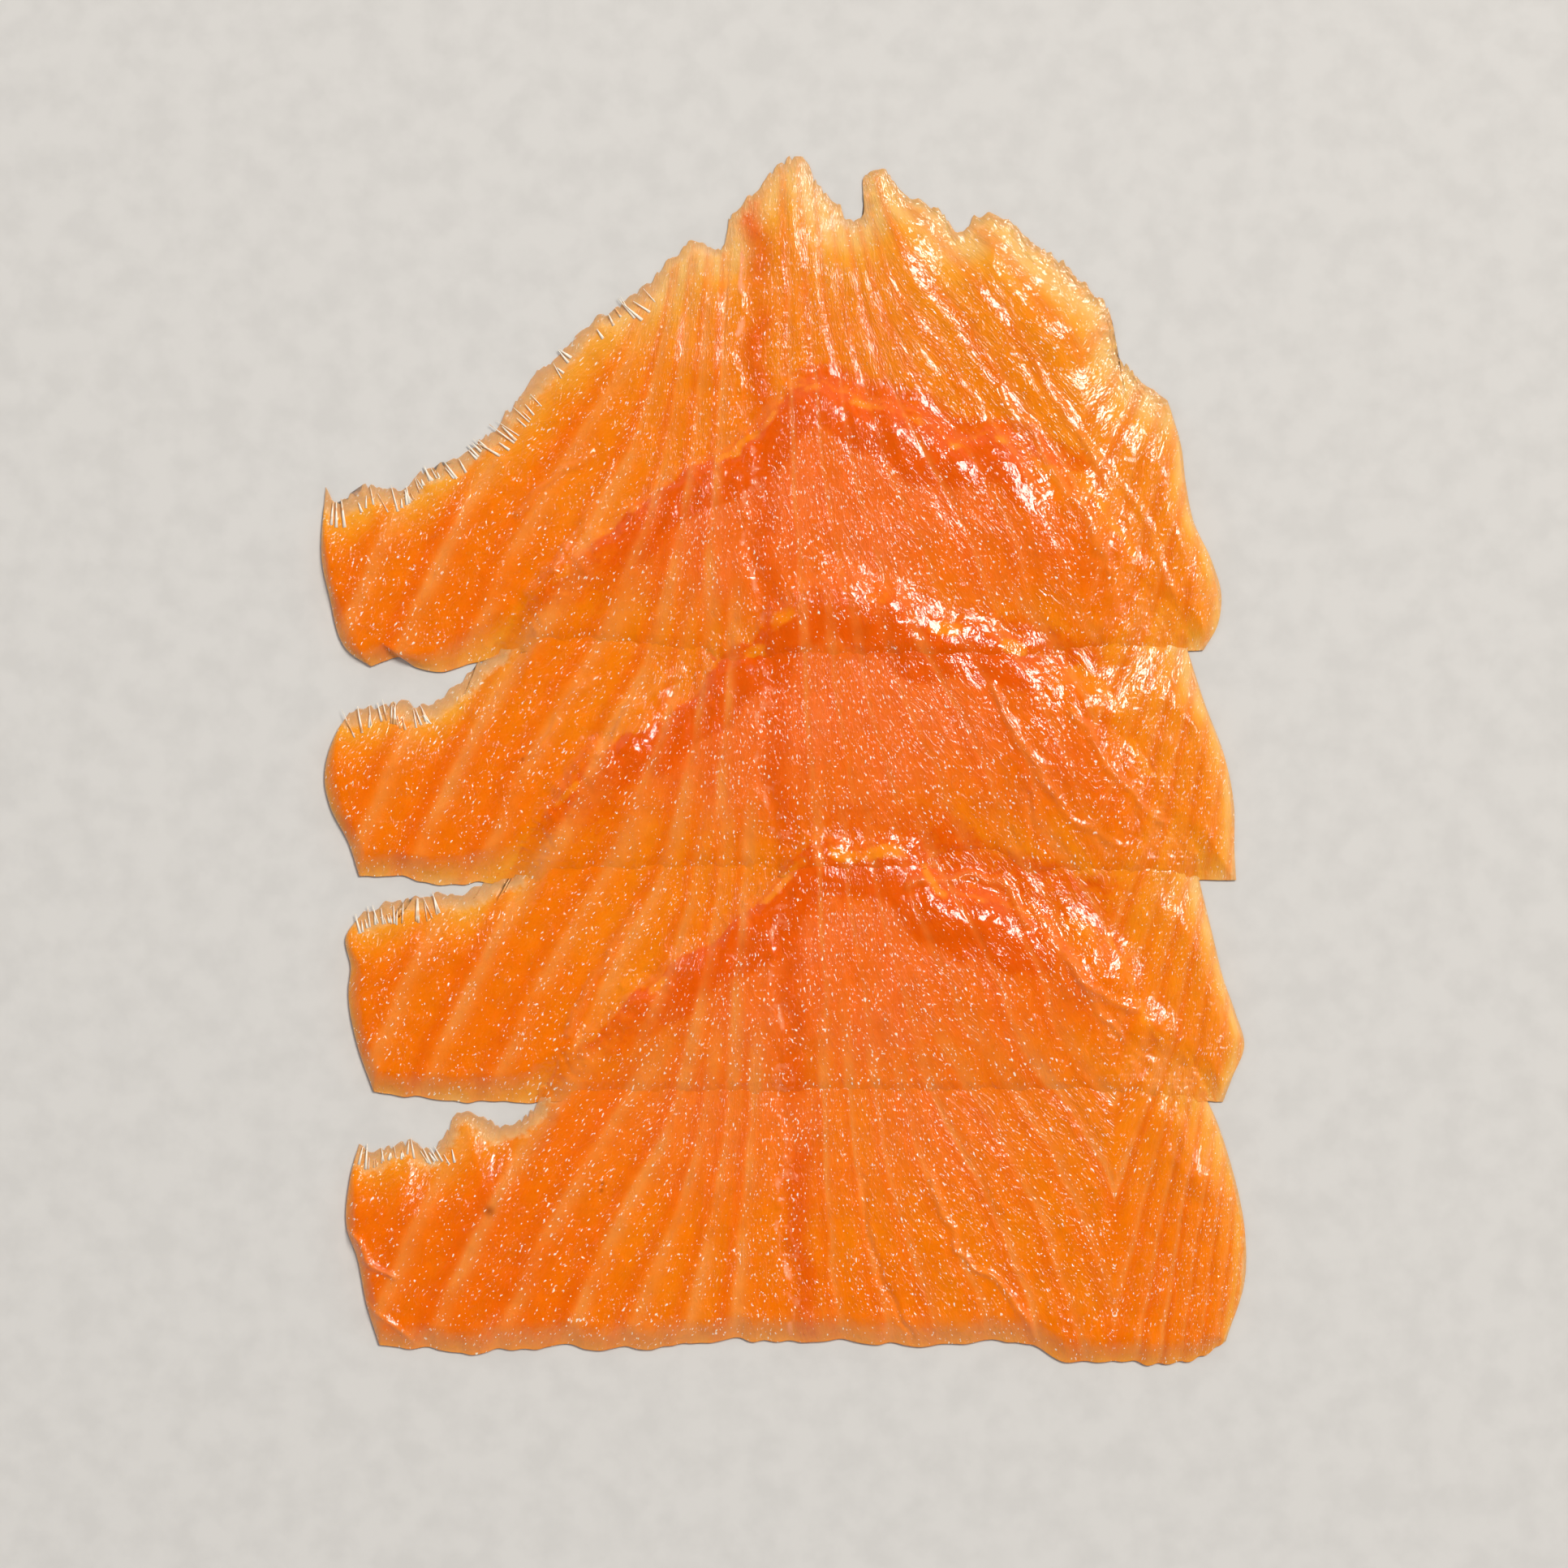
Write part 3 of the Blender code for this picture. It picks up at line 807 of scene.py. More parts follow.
def flesh_material(colours):
    """Cold-smoked salmon: moist translucent muscle with fatty lines between flakes."""
    material = bpy.data.materials.new("smoked_salmon_flesh")
    material.use_nodes = True
    tree = material.node_tree
    tree.nodes.clear()
    mask = {
        name: add_node(tree, "ShaderNodeAttribute", attribute_name=name).outputs["Fac"]
        for name in MASKS
    }
    grain = add_node(tree, "ShaderNodeAttribute", attribute_name="grain").outputs["Vector"]
    place = add_node(tree, "ShaderNodeTexCoord").outputs["Object"]
    combed, stretched = (
        add_node(
            tree, "ShaderNodeMapping", {"Vector": grain, "Scale": (1.0, squeeze, 1.0)},
        ).outputs[0]
        for squeeze in (0.3, 0.55)
    )

    # Each pattern with what it follows, its features on a metre, how many finer
    # layers it has and how strong they are. The size beside it is that of a feature.
    rows = {
        "fray": (place, 900.0, 3.0, 0.6),  # 1.1 mm, finer than the mesh can hold
        "clouds": (place, 210.0, 4.0, 0.6),  # 5 mm
        "shades": (place, 300.0, 4.0, 0.6),  # 3 mm
        "crowds": (place, 240.0, 4.0, 0.65),  # 4 mm
        "hairs": (combed, 900.0, 3.0, 0.6),  # 1.1 mm, with fibres of 0.3 mm between
        "painted_glints": (stretched, 2100.0, 1.0, 0.6),  # 0.5 mm
        "wide_steps": (stretched, 950.0, 0.0, 0.5),  # 1 mm
        "small_steps": (stretched, 2300.0, 0.0, 0.5),  # 0.4 mm
        "grit": (stretched, 1500.0, 1.0, 0.5),  # 0.7 mm
    }
    pattern = {
        name: add_node(
            tree, "ShaderNodeTexNoise", dict(zip(("Vector", "Scale", "Detail", "Roughness"), row)),
        ).outputs["Fac"]
        for name, row in rows.items()
    }

    # Each level with what it reads, over which range, and what it becomes at both
    # ends. The borders between tones are frayed, and the thin membrane lets the
    # ground through ever more towards its edge.
    fray = weighted(tree, -0.45, (pattern["fray"], 0.9))
    rows = {
        "arch": (weighted(tree, fray, (mask["arch"], 1.0)), 0.2, 0.8, 0.0, 1.0),
        "bright": (weighted(tree, fray, (mask["bright"], 1.0)), 0.3, 0.9, 0.0, 1.0),
        "seam": (weighted(tree, fray, (mask["seam"], 1.0)), 0.25, 0.75, 0.0, 1.0),
        "membrane": (weighted(tree, fray, (mask["thin"], 1.0)), 0.25, 0.6, 0.0, 1.0),
        "opacity": (mask["thin"], 0.35, 0.95, 1.0, 0.45),
        "clouded": (pattern["clouds"], 0.42, 0.68, 0.0, 0.6),
        "shade": (pattern["shades"], 0.3, 0.7, 0.92, 1.05),
        "crowd": (weighted(tree, pattern["crowds"], (mask["pink"], 0.1)), 0.42, 0.66, 0.05, 1.0),
    }
    level = {
        name: add_node(
            tree, "ShaderNodeMapRange",
            dict(zip(("Value", "From Min", "From Max", "To Min", "To Max"), row)),
        ).outputs["Result"]
        for name, row in rows.items()
    }

    # Thin flesh over a pale ground is yellow and light, a double layer is deep orange.
    body = add_node(tree, "ShaderNodeValToRGB", {"Fac": mask["depth"]}, stops=(
        (0.0, opaque(colours.edge)), (0.12, opaque(colours.thin)), (0.26, opaque(colours.pale)),
        (0.42, opaque(colours.flesh)), (0.6, opaque(colours.deep)), (1.0, opaque(colours.deepest)),
    )).outputs["Color"]

    # Muscle fibres some 0.3 mm across are drawn as faint hairs that follow the grain.
    hairs = add_node(tree, "ShaderNodeValToRGB", {"Fac": pattern["hairs"]}, stops=(
        (0.44, (0, 0, 0, 1)), (0.5, (1, 1, 1, 1)), (0.56, (0, 0, 0, 1)),
    )).outputs["Color"]
    body = lay_colours(tree, body, (
        (level["clouded"], mask["depth"], colours.deep),
        (weighted(tree, 1.0, (level["clouded"], -1.0)), mask["pink"], colours.pink),
        # The dark band over a fold; outside the hidden edge it is painted shade.
        (level["arch"], 0.95, colours.deepest),
        # The painted shadow beside the seam, and a darker strip beside each fat line.
        (mask["seam_dark"], 0.85, colours.deepest),
        (mask["septum"], 0.75, colours.fat),
        # A painted highlight along the top of a fold.
        (level["bright"], 0.7, colours.painted_highlight),
        (level["seam"], 0.85, colours.tissue),
        (mask["haze"], 0.5, colours.haze),
        (mask["speck"], 0.75, colours.speck),
        (hairs, weighted(tree, 0.05, (mask["haze"], 0.4)), colours.fat),
    ))
    body = add_node(
        tree, "ShaderNodeMix", {0: 1.0, 6: body, 7: level["shade"]},
        data_type="RGBA", blend_type="MULTIPLY",
    ).outputs[2]

    # The torn membrane is tan. Tiny bright dots, 0.3 mm, crowd in patches: painted
    # glints of beads of oil on the wet face, and pale broken fibre ends.
    painted_glints = weighted(tree, -0.7, (pattern["painted_glints"], 1.0), (level["crowd"], 0.085))
    body = lay_colours(tree, body, (
        (level["membrane"], 0.9, colours.membrane),
        (painted_glints, 14.0, colours.bead),
    ))

    # The wet face is smooth between low steps some 1 mm and 0.4 mm wide and twice as
    # long, whose sides catch the light as short bright arcs, and has a weak fine grit.
    wide, small = (
        add_node(tree, "ShaderNodeMapRange", {
            "Value": pattern[name], "From Min": low, "From Max": high,
        }, interpolation_type="SMOOTHSTEP").outputs["Result"]
        for name, low, high in (("wide_steps", 0.5, 0.62), ("small_steps", 0.53, 0.67))
    )
    lively = add_node(tree, "ShaderNodeClamp", {"Value": weighted(
        tree, 0.65, (level["crowd"], 0.85), (mask["depth"], -0.6), (mask["arch"], -0.3),
    )}).outputs["Result"]
    uneven = weighted(tree, wide, (small, 0.5), (pattern["grit"], 0.7))
    uneven = weighted(tree, 0.0, (uneven, lively))
    wet_bump, body_bump = (
        add_node(tree, "ShaderNodeBump", {
            "Height": uneven, "Strength": 1.0, "Distance": height,
        }).outputs["Normal"]
        for height in (0.11 * MM, 0.04 * MM)
    )
    shader = add_node(tree, "ShaderNodeBsdfPrincipled", {
        "Base Color": body,
        "Roughness": 0.45,
        "IOR": 1.4,
        "Alpha": level["opacity"],
        "Normal": body_bump,
        "Subsurface Weight": 0.2,
        "Subsurface Radius": (1.0, 0.35, 0.12),
        "Subsurface Scale": 0.5 * MM,
        "Specular IOR Level": 0.05,
        "Coat Weight": 0.8,
        "Coat Roughness": 0.06,
        "Coat IOR": 1.5,
        "Coat Normal": wet_bump,
    }).outputs["BSDF"]
    add_node(tree, "ShaderNodeOutputMaterial", {"Surface": shader})
    return material


def mottled_material(name, per_metre, detail, stops, values):
    """A material whose colour wanders between two tones."""
    material = bpy.data.materials.new(name)
    material.use_nodes = True
    tree = material.node_tree
    shader = tree.nodes["Principled BSDF"]
    mottle = add_node(tree, "ShaderNodeTexNoise", {
        "Vector": add_node(tree, "ShaderNodeTexCoord").outputs["Object"],
        "Scale": per_metre, "Detail": detail,
    }).outputs["Fac"]
    tone = add_node(tree, "ShaderNodeValToRGB", {"Fac": mottle}, stops=stops).outputs["Color"]
    tree.links.new(tone, shader.inputs["Base Color"])
    for socket, value in values.items():
        shader.inputs[socket].default_value = value
    return material


def tissue_material(colours):
    """Connective tissue: thin, glossy, cream-white fibre that lets light through, with white
    streaks that are partly painted glints.
    """
    stops = ((0.35, opaque(colours.membrane)), (0.45, opaque(colours.streak_and_painted_glint)))
    values = {"Roughness": 0.3, "IOR": 1.45, "Alpha": 0.95}
    return mottled_material("connective_tissue", 400.0, 2.0, stops, values)  # tones 2.5 mm apart


def floor_material(colour):
    """Matt pale stone-coloured paper, which gives a soft even ground."""
    stops = ((0.35, opaque(0.94 * part for part in colour)), (0.6, opaque(colour)))
    values = {"Roughness": 0.8, "Specular IOR Level": 0.2}
    return mottled_material("pale_floor", 160.0, 5.0, stops, values)  # tones 6 mm apart


def new_tree(name, inputs):
    """A geometry tree with named inputs; returns it and its input node's sockets."""
    tree = bpy.data.node_groups.new(name, "GeometryNodeTree")
    tree.interface.new_socket(name="Geometry", in_out="INPUT", socket_type="NodeSocketGeometry")
    tree.interface.new_socket(name="Geometry", in_out="OUTPUT", socket_type="NodeSocketGeometry")
    for label, kind in inputs:
        tree.interface.new_socket(name=label, in_out="INPUT", socket_type=kind)
    return tree, tree.nodes.new("NodeGroupInput").outputs


def end_tree(tree, instances, material):
    """Close a geometry tree: real meshes, shaded smooth, with their material."""
    real = add_node(tree, "GeometryNodeRealizeInstances", {0: instances}).outputs[0]
    smooth = add_node(tree, "GeometryNodeSetShadeSmooth", {0: real}).outputs[0]
    coloured = add_node(tree, "GeometryNodeSetMaterial", {0: smooth, "Material": material})
    add_node(tree, "NodeGroupOutput", {0: coloured.outputs[0]})


def spike_tree(material):
    """Spikes that start on a line and reach along its "reach" directions."""
    tree, given = new_tree("torn_spikes", (
        ("Spacing", "NodeSocketFloat"), ("Width", "NodeSocketFloat"), ("Spread", "NodeSocketFloat"),
        ("Share", "NodeSocketFloat"), ("Seed", "NodeSocketInt"),
    ))
    line = add_node(tree, "GeometryNodeMeshToCurve", {"Mesh": given["Geometry"]}).outputs["Curve"]
    evenly = add_node(
        tree, "GeometryNodeResampleCurve", {"Curve": line, "Length": given["Spacing"]},
        mode="LENGTH",
    ).outputs["Curve"]
    spike = add_node(tree, "GeometryNodeMeshCone", {
        "Vertices": 5, "Side Segments": 2, "Radius Top": 0.12, "Radius Bottom": 0.5, "Depth": 1.0,
    }).outputs["Mesh"]
    reach = add_node(
        tree, "GeometryNodeInputNamedAttribute", {"Name": "reach"}, data_type="FLOAT_VECTOR",
    ).outputs["Attribute"]
    length = add_node(tree, "ShaderNodeVectorMath", {0: reach}, operation="LENGTH")
    straight = add_node(tree, "ShaderNodeVectorMath", {0: reach}, operation="NORMALIZE")

    # It leans astray to any side and a little up, and its flat side turns up.
    astray = add_node(tree, "FunctionNodeRandomValue", {
        0: (-1.0, -1.0, 0.0), 1: (1.0, 1.0, 0.3), "Seed": given["Seed"],
    }, data_type="FLOAT_VECTOR").outputs[0]
    strayed = add_node(
        tree, "ShaderNodeVectorMath", {0: astray, "Scale": given["Spread"]}, operation="SCALE",
    ).outputs[0]
    heading = add_node(
        tree, "ShaderNodeVectorMath", {0: straight.outputs[0], 1: strayed}, operation="ADD",
    ).outputs[0]
    turn = add_node(
        tree, "FunctionNodeAlignRotationToVector", {"Vector": heading}, axis="Z",
    ).outputs["Rotation"]
    turn = add_node(tree, "FunctionNodeAlignRotationToVector", {
        "Rotation": turn, "Vector": (0.0, 0.0, 1.0),
    }, axis="Y", pivot_axis="Z").outputs["Rotation"]

    later = weighted(tree, 7.0, (given["Seed"], 1.0))
    longer, wider = (
        add_node(tree, "FunctionNodeRandomValue", {2: least, 3: most, "Seed": seed}).outputs[1]
        for least, most, seed in ((0.45, 1.35, later), (0.5, 1.5, given["Seed"]))
    )
    tall = weighted(tree, 0.0, (length.outputs["Value"], longer))
    wide = weighted(tree, 0.0, (given["Width"], wider))
    flat = weighted(tree, 0.0, (wide, 0.4))
    scale = add_node(tree, "ShaderNodeCombineXYZ", {"X": wide, "Y": flat, "Z": tall}).outputs[0]
    chosen = add_node(tree, "FunctionNodeRandomValue", {
        "Probability": given["Share"], "Seed": given["Seed"],
    }, data_type="BOOLEAN").outputs[3]
    spikes = add_node(tree, "GeometryNodeInstanceOnPoints", {
        "Points": evenly, "Selection": chosen, "Instance": spike, "Rotation": turn, "Scale": scale,
    }).outputs["Instances"]
    end_tree(tree, spikes, material)
    return tree


def bead_tree(material):
    """Flattened beads scattered over a surface where its "shown" attribute is high."""
    tree, given = new_tree("oil_beads", (
        ("Density", "NodeSocketFloat"), ("Radius", "NodeSocketFloat"), ("Seed", "NodeSocketInt"),
    ))
    shown = add_node(
        tree, "GeometryNodeInputNamedAttribute", {"Name": "shown"}, data_type="FLOAT",
    ).outputs["Attribute"]
    density = weighted(tree, 0.0, (shown, given["Density"]))
    scatter = add_node(tree, "GeometryNodeDistributePointsOnFaces", {
        "Mesh": given["Geometry"], "Density": density, "Seed": given["Seed"],
    })
    bead = add_node(
        tree, "GeometryNodeMeshUVSphere", {"Segments": 6, "Rings": 3, "Radius": 1.0},
    ).outputs["Mesh"]
    draw = add_node(tree, "FunctionNodeRandomValue", {2: 0.55, 3: 1.4, "Seed": given["Seed"]})
    size = weighted(tree, 0.0, (draw.outputs[1], given["Radius"]))
    flat = weighted(tree, 0.0, (size, 0.55))
    scale = add_node(tree, "ShaderNodeCombineXYZ", {"X": size, "Y": size, "Z": flat}).outputs[0]
    beads = add_node(tree, "GeometryNodeInstanceOnPoints", {
        "Points": scatter.outputs["Points"], "Instance": bead,
        "Rotation": scatter.outputs["Rotation"], "Scale": scale,
    }).outputs["Instances"]
    end_tree(tree, beads, material)
    return tree


def grown_mesh(context, source, tree, values, name):
    """Run a geometry tree on a mesh and return the result as a plain mesh."""
    holder = bpy.data.objects.new(name + "_source", source)
    context.scene.collection.objects.link(holder)
    modifier = holder.modifiers.new(name, "NODES")
    modifier.node_group = tree
    for socket in tree.interface.items_tree:
        if socket.in_out == "INPUT" and socket.name in values:
            modifier[socket.identifier] = values[socket.name]
    mesh = bpy.data.meshes.new_from_object(holder.evaluated_get(context.evaluated_depsgraph_get()))
    if not mesh.polygons:
        raise RuntimeError(name + " came out empty")
    holder.modifiers.remove(modifier)
    bpy.data.objects.remove(holder)
    mesh.name = name
    return mesh


def place_piece(context, name, mesh, node, replace):
    """Link a piece at the origin on the root body, and hide its slice's solid when it replaces it.
    """
    piece = bpy.data.objects.new(name, mesh)
    context.scene.collection.objects.link(piece)
    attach(piece, "root")
    if replace:
        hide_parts(node)
    return piece


def read_upper_face(mesh, shape):
    """Grids of a slice's upper points and of their distances from its back edge."""
    count = shape[0] * shape[1]
    points = np.zeros(len(mesh.vertices) * 3)
    mesh.vertices.foreach_get("co", points)
    from_back = np.zeros(len(mesh.vertices))
    mesh.attributes["from_back"].data.foreach_get("value", from_back)
    return points[:3 * count].reshape(shape + (3,)), from_back[:count].reshape(shape)


class SalmonSliceSettings(bpy.types.PropertyGroup):
    """Sizes of the slices."""

    thickness: FloatProperty(
        name="Thickness", description="Thickness in the middle of a slice",
        default=2.6 * MM, min=1.0 * MM, max=6.0 * MM, unit="LENGTH", precision=4)
    gap: FloatProperty(
        name="Gap", description="Air left between two slices",
        default=0.06 * MM, min=0.0, max=1.0 * MM, unit="LENGTH", precision=5)
    drape: FloatProperty(
        name="Drape", description="How far a slice takes to bend over an edge below it",
        default=1.1 * MM, min=0.4 * MM, max=6.0 * MM, unit="LENGTH", precision=4)
    cells_across: IntProperty(
        name="Cells across", description="Cells from the left edge to the right one",
        default=380, min=40, max=400)
    cells_deep: IntProperty(
        name="Cells deep", description="Cells from the front edge to the back one",
        default=205, min=20, max=220)
    stride: IntProperty(
        name="Underside stride", description="Upper cells for each cell of the underside",
        default=5, min=1, max=10)


def colour_setting(name, description, default):
    """A colour property with its default as an sRGB hex value."""
    return FloatVectorProperty(
        name=name, description=description,
        subtype="COLOR", default=linear(default), min=0.0, max=1.0)


class SalmonColourSettings(bpy.types.PropertyGroup):
    """Colours of the flesh."""

    edge: colour_setting("Edge", "Flesh so thin that the ground shows through", "f2b866")
    thin: colour_setting("Thin flesh", "Thin flesh near an edge", "f4a02c")
    pale: colour_setting("Pale flesh", "A single thin layer", "f68c10")
    flesh: colour_setting("Flesh", "A single thick layer", "f67a00")
    deep: colour_setting("Deep flesh", "Two layers", "f26800")
    # Besides deep flesh, this colour lays painted shade outside the hidden edge of a slice below,
    # and the painted shadow beside the seam.
    deepest: colour_setting("Deepest flesh", "Bands over a fold and along the seam", "e85800")
    pink: colour_setting("Pink flesh", "The cloudy middle of a double layer", "f8742e")
    fat: colour_setting("Fat", "Lines between the flakes", "f49440")
    tissue: colour_setting("Tissue", "Threads along the seam", "ffa274")
    # This colour is a painted highlight on the top of a fold.
    painted_highlight: colour_setting("Glow", "Bright flesh on top of a fold", "ff9416")
    haze: colour_setting("Haze", "Cloudy flesh along the front edge", "ee8f4c")
    speck: colour_setting("Speck", "Brown specks", "a04410")
    # This colour is painted on as tiny dots: painted glints of the wet, oily surface, and pale
    # broken fibre ends.
    bead: colour_setting("Bead", "Tiny beads of oil", "ffe9d2")
    membrane: colour_setting("Membrane", "Torn film along the back edge", "f4b878")
    # This colour is partly the tissue's cream-white and partly painted glints on its folds.
    streak_and_painted_glint: colour_setting("Streak", "Folds in the torn film", "fff4e2")


class SalmonFringeSettings(bpy.types.PropertyGroup):
    """Sizes of the torn fringe and of the beads of oil."""

    spacing: FloatProperty(
        name="Spike spacing", description="Distance between two spikes along the torn edge",
        default=0.5 * MM, min=0.1 * MM, unit="LENGTH", precision=5)
    width: FloatProperty(
        name="Spike width", description="Mean width of a spike at its foot",
        default=0.5 * MM, min=0.05 * MM, unit="LENGTH", precision=5)
    spread: FloatProperty(
        name="Spike spread",
        description="How far a spike turns out of line, as a share of its length",
        default=0.22, min=0.0, max=1.0, subtype="FACTOR")
    share: FloatProperty(
        name="Spike share", description="Share of the places that have a spike",
        default=0.38, min=0.0, max=1.0, subtype="FACTOR")
    bead_density: FloatProperty(
        name="Bead density", description="Beads of oil on a square metre", default=70000.0, min=0.0)
    bead_radius: FloatProperty(
        name="Bead radius", description="Mean radius of a bead of oil",
        default=0.1 * MM, min=0.02 * MM, unit="LENGTH", precision=5)


class SalmonStageSettings(bpy.types.PropertyGroup):
    """The floor, the lights and the camera."""

    floor_colour: colour_setting("Floor", "Colour of the floor", "d5d2cf")
    key_power: FloatProperty(
        name="Key light", description="Power of the soft light at the back right",
        default=102.0, min=0.0, unit="POWER")
    fill_power: FloatProperty(
        name="Fill light", description="Power of the wide light overhead",
        default=13.0, min=0.0, unit="POWER")
    sky: FloatProperty(
        name="Sky", description="Strength of the even light all round", default=0.6, min=0.0)
    camera_height: FloatProperty(
        name="Camera height", description="Height of the camera over the floor",
        default=0.643, min=0.1, unit="LENGTH")
    camera_lens: FloatProperty(
        name="Lens", description="Focal length of the camera",
        default=85.0, min=10.0, subtype="UNSIGNED")


class SALMON_OT_lay_slices(bpy.types.Operator):
    """Lay the four slices one over the next, from the front one up to the back one"""

    bl_idname = "salmon.lay_slices"
    bl_label = "Lay slices"

    def execute(self, context):
        settings = context.scene.salmon_slices
        flesh = flesh_material(context.scene.salmon_colours)
        grids = {name: slice_grid(name, settings) for name in SLICE_NAMES}
        covers = {name: stamp(grid[0], np.ones(grid[0].shape[:2])) for name, grid in grids.items()}
        ground = np.zeros(FIELD_SHAPE)
        laid = np.zeros(FIELD_SHAPE)
        seen = {mask: np.zeros(FIELD_SHAPE) for mask in MASKS}
        below = []
        for name in reversed(SLICE_NAMES):
            places, local, edges = grids[name]
            covered = read_raster(soften(laid, RASTER), places)
            bottom, top, thickness = drape(name, grids[name], ground, laid, covered, settings)
            own_masks = slice_masks(name, places, local, edges, thickness, below, settings)
            beneath = {mask: read_raster(seen[mask], places) for mask in MASKS}
            masks = blend_front(own_masks, beneath, covered, local, edges)
            mesh, kept = slice_mesh(name + "_flesh", places, bottom, top, settings.stride)
            foot = flake_foot(local[..., 0], local[..., 1], PLANS[name])
            apart = 0.1 * len(below)  # so that no two slices share a pattern
            grain = np.stack([foot * MM, local[..., 1] * MM, 0 * foot + apart], axis=-1)
            index = SLICE_NAMES.index(name)
            hidden = read_raster(covers[SLICE_NAMES[index - 1]], places) if index else 0.0 * foot
            shown = (1 - eased(hidden)) * (1 - masks["thin"])
            fields = dict(masks, shown=shown, from_back=edges["back"] * MM)
            write_fields(mesh, fields, grain, kept)
            lower = mesh.attributes["shown"].data
            for number in range(top.size, len(mesh.vertices)):
                lower[number].value = 0.0
            mesh.materials.append(flesh)
            low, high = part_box(name)
            off = max(abs(places[..., 0].min() - low[0]), abs(places[..., 1].max() - high[1]))
            if off > MOST_OFF:
                raise RuntimeError(name + " is not where its solid is")
            place_piece(context, name + "_flesh", mesh, name, True)

            ground = np.maximum(ground, stamp(places, top + settings.gap))
            laid = np.maximum(laid, covers[name])
            for mask in MASKS:
                seen[mask] = np.where(covers[name] > 0, stamp(places, masks[mask]), seen[mask])
            around = spread_highest(covers[name], PLANS[name]["shade_beside"] * MM)
            below.insert(0, {
                "thickness": soften(stamp(places, thickness), 0.9 * MM),
                "inward": soften(stamp(places, edges["back"]), 0.4 * MM),
                "beside": soften(around, 1.2 * MM),
            })
        return {"FINISHED"}


class SALMON_OT_tear_fringe(bpy.types.Operator):
    """Add the comb of torn tissue along the back edges that show"""

    bl_idname = "salmon.tear_fringe"
    bl_label = "Tear fringe"

    def execute(self, context):
        sizes = context.scene.salmon_fringe
        slices = context.scene.salmon_slices
        tree = spike_tree(tissue_material(context.scene.salmon_colours))
        shape = (slices.cells_deep + 1, slices.cells_across + 1)
        for number, name in enumerate(SLICE_NAMES):
            points, from_back = read_upper_face(bpy.data.objects[name + "_flesh"].data, shape)
            along = points[-1, :, 0] / MM
            inset = (1.6 + 3.0 * cloud(along, 0 * along, 4.0, 95 + number)) * MM
            row = shape[0] - 1 - (from_back[::-1] >= inset).argmax(axis=0)
            feet = points[row, np.arange(shape[1])]

            # Each spike points square to the torn edge and comes down along the film.
            evened = np.ones(2 * EVENED + 1) / (2 * EVENED + 1)
            edge = np.column_stack([
                np.convolve(np.pad(points[-1, :, k], EVENED, "edge"), evened, "valid")
                for k in (0, 1)
            ])
            way = np.gradient(edge, axis=0)
            way = way / np.linalg.norm(way, axis=1)[:, None]
            length = inset + (1.4 * cloud(along, 0 * along, 1.7, 85 + number) - 0.4) * MM
            drop = 0.8 * (feet[:, 2] - points[-1, :, 2]) * length / inset
            drop = np.minimum(drop, (feet[:, 2] - 0.4 * MM) / LONGEST_SPIKE)
            reach = np.column_stack([-way[:, 1] * length, way[:, 0] * length, -drop])
            torn = along < PLANS[name]["fringe_to"]
            feet, reach = feet[torn][2:], reach[torn][2:]
            line = bpy.data.meshes.new(name + "_feet")
            line.from_pydata(feet.tolist(), [(k, k + 1) for k in range(len(feet) - 1)], [])
            layer = line.attributes.new("reach", "FLOAT_VECTOR", "POINT")
            layer.data.foreach_set("vector", reach.reshape(-1))
            values = {
                "Spacing": sizes.spacing, "Width": sizes.width, "Spread": sizes.spread,
                "Share": sizes.share, "Seed": 3 + number,
            }
            mesh = grown_mesh(context, line, tree, values, name + "_fringe")
            place_piece(context, name + "_fringe", mesh, name, False)
        return {"FINISHED"}


class SALMON_OT_bead_oil(bpy.types.Operator):
    """Scatter fine beads of oil over the parts of the slices that show"""

    bl_idname = "salmon.bead_oil"
    bl_label = "Bead oil"

    def execute(self, context):
        sizes = context.scene.salmon_fringe
        tree = bead_tree(tissue_material(context.scene.salmon_colours))
        for number, name in enumerate(SLICE_NAMES):
            values = {
                "Density": sizes.bead_density, "Radius": sizes.bead_radius, "Seed": 11 + number,
            }
            source = bpy.data.objects[name + "_flesh"].data
            mesh = grown_mesh(context, source, tree, values, name + "_beads")
            place_piece(context, name + "_beads", mesh, name, False)
        return {"FINISHED"}


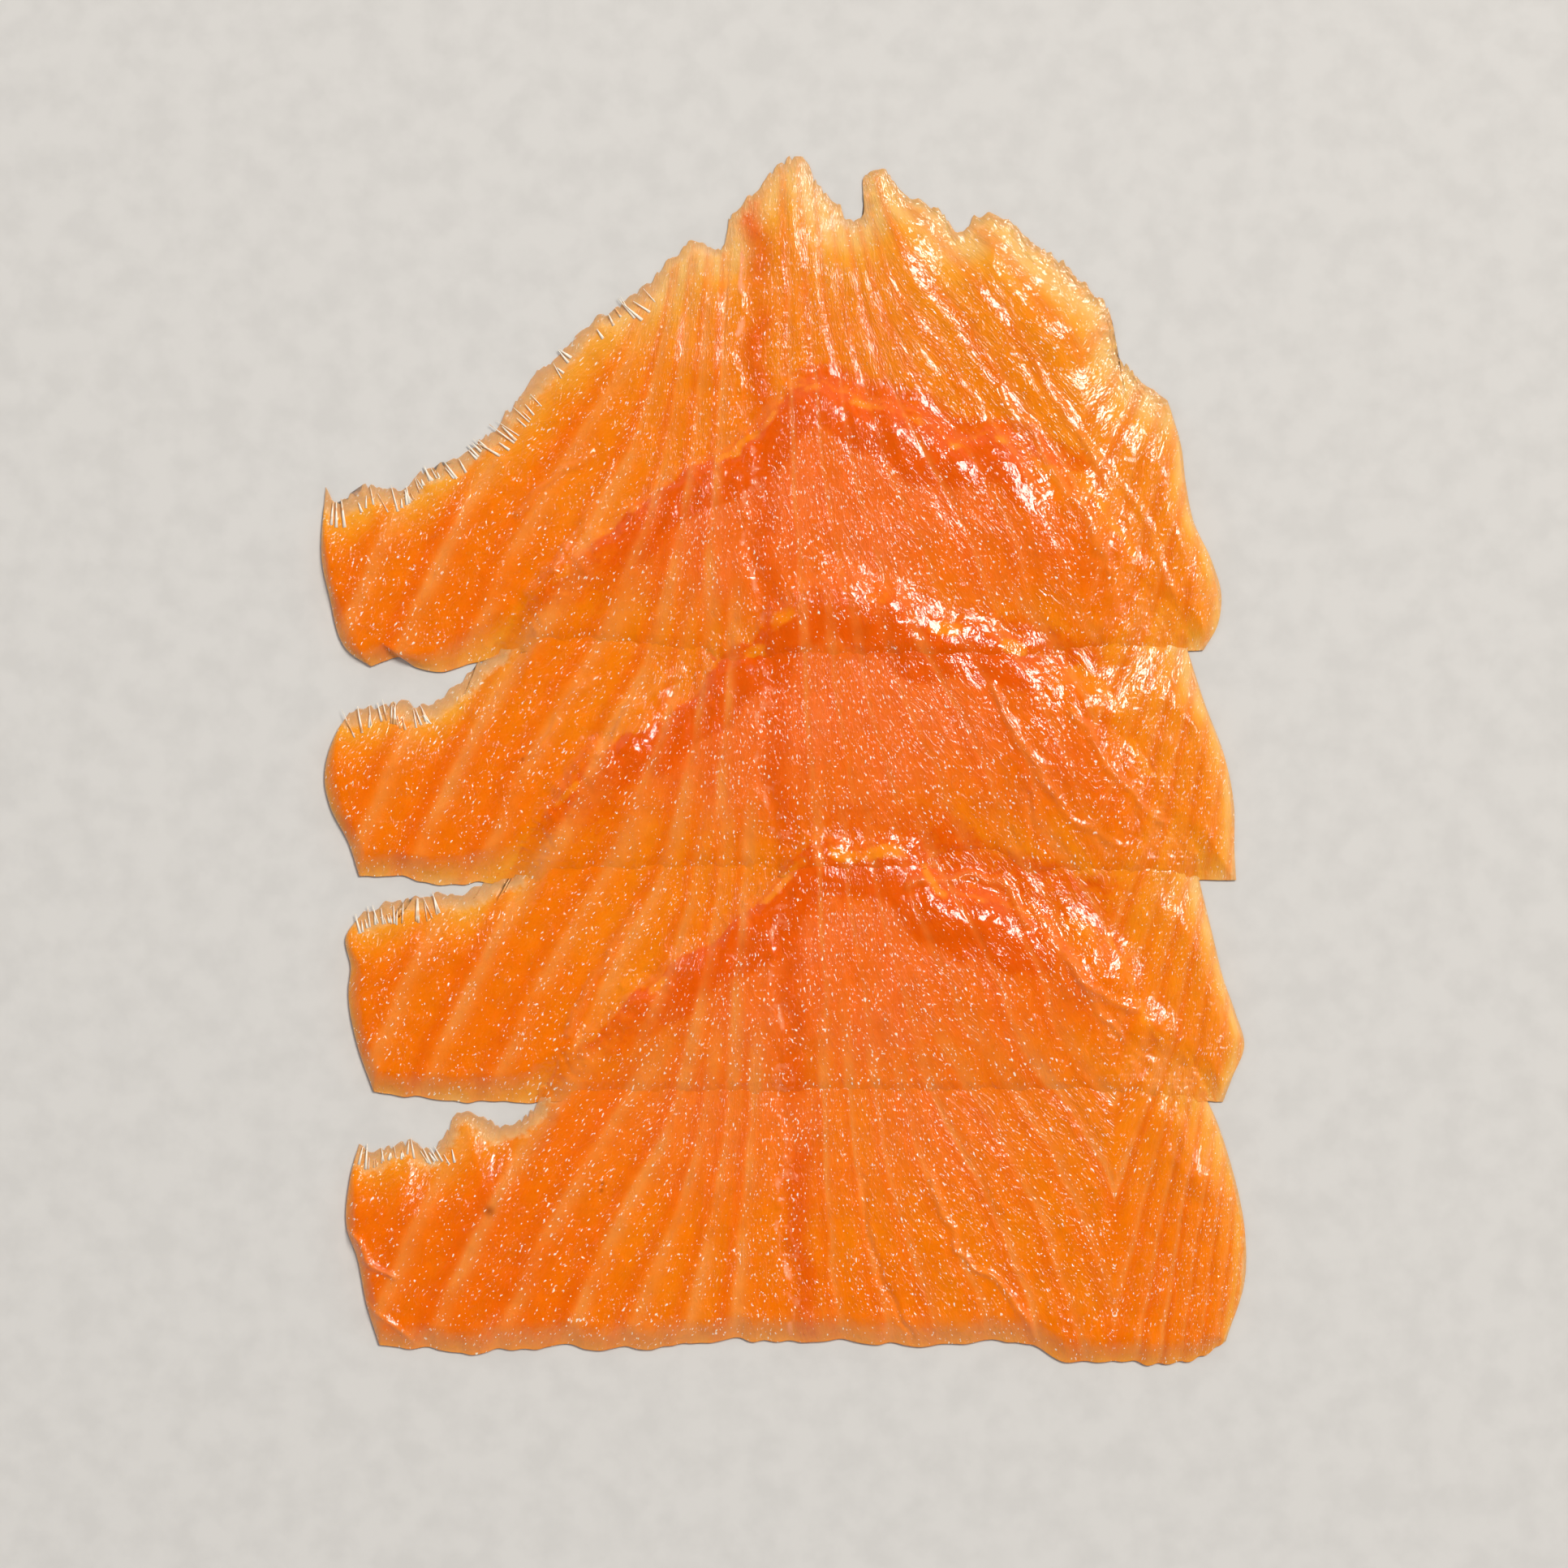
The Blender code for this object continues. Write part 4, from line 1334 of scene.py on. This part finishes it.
class SALMON_OT_set_stage(bpy.types.Operator):
    """Set the floor, the soft lights and the camera that looks straight down"""

    bl_idname = "salmon.set_stage"
    bl_label = "Set stage"

    def execute(self, context):
        settings = context.scene.salmon_stage
        bpy.ops.mesh.primitive_plane_add(size=4.0, location=(0, 0, -0.2 * MM))
        floor = context.object
        floor.name = "floor"
        floor.data.materials.append(floor_material(settings.floor_colour))
        lights = (
            ("key_light", (1.3, 1.2, 2.9), 1.2, settings.key_power, (1.0, 0.97, 0.91)),
            ("fill_light", (-1.6, 0.6, 2.6), 2.0, settings.fill_power, (0.97, 0.985, 1.0)),
        )
        for name, place, size, power, colour in lights:
            data = bpy.data.lights.new(name, "AREA")
            data.shape = "DISK"
            data.size = size
            data.energy = power
            data.color = colour
            light = bpy.data.objects.new(name, data)
            light.location = place
            light.rotation_euler = (-Vector(place)).to_track_quat("-Z", "Y").to_euler()
            light.visible_glossy = name == "key_light"
            context.scene.collection.objects.link(light)
        world = bpy.data.worlds.new("studio")
        world.use_nodes = True
        sky = world.node_tree
        direction = add_node(sky, "ShaderNodeTexCoord").outputs["Generated"]
        height = add_node(sky, "ShaderNodeSeparateXYZ", {"Vector": direction}).outputs["Z"]
        ring = add_node(sky, "ShaderNodeValToRGB", {"Fac": height}, stops=(
            (0.5, (0.96, 0.98, 1.0, 1.0)), (0.7, (0.03, 0.03, 0.03, 1.0)),
        )).outputs["Color"]
        sky.links.new(ring, sky.nodes["Background"].inputs["Color"])
        sky.nodes["Background"].inputs["Strength"].default_value = settings.sky
        context.scene.world = world
        lens = bpy.data.cameras.new("camera")
        lens.lens = settings.camera_lens
        lens.sensor_width = 36.0
        camera = bpy.data.objects.new("camera", lens)
        camera.location = (0.0, PICTURE_MIDDLE, settings.camera_height)
        context.scene.collection.objects.link(camera)
        context.scene.camera = camera
        context.scene.view_settings.view_transform = "Standard"
        return {"FINISHED"}


OPERATORS = (SALMON_OT_lay_slices, SALMON_OT_tear_fringe, SALMON_OT_bead_oil, SALMON_OT_set_stage)
SETTINGS = (
    ("salmon_slices", SalmonSliceSettings),
    ("salmon_colours", SalmonColourSettings),
    ("salmon_fringe", SalmonFringeSettings),
    ("salmon_stage", SalmonStageSettings),
)


class SALMON_PT_tools(bpy.types.Panel):
    """Lists the steps that make the slices and their stage"""

    bl_idname = "SALMON_PT_tools"
    bl_label = "Smoked salmon slices"
    bl_space_type = "VIEW_3D"
    bl_region_type = "UI"
    bl_category = "Salmon"

    def draw(self, context):
        layout = self.layout
        for label, kind in SETTINGS:
            group = getattr(context.scene, label)
            for name in kind.__annotations__:
                layout.prop(group, name)
        for operator in OPERATORS:
            layout.operator(operator.bl_idname)


def register():
    """Add the settings, the operators and the panel."""
    for label, kind in SETTINGS:
        bpy.utils.register_class(kind)
        setattr(bpy.types.Scene, label, PointerProperty(type=kind))
    for kind in OPERATORS + (SALMON_PT_tools,):
        bpy.utils.register_class(kind)


def unregister():
    """Remove what register added."""
    for kind in (SALMON_PT_tools,) + OPERATORS:
        bpy.utils.unregister_class(kind)
    for label, kind in SETTINGS:
        delattr(bpy.types.Scene, label)
        bpy.utils.unregister_class(kind)


def main():
    """Make every piece and the stage."""
    register()
    bpy.ops.salmon.lay_slices()
    bpy.ops.salmon.tear_fringe()
    bpy.ops.salmon.bead_oil()
    bpy.ops.salmon.set_stage()


if __name__ == "__main__":
    main()
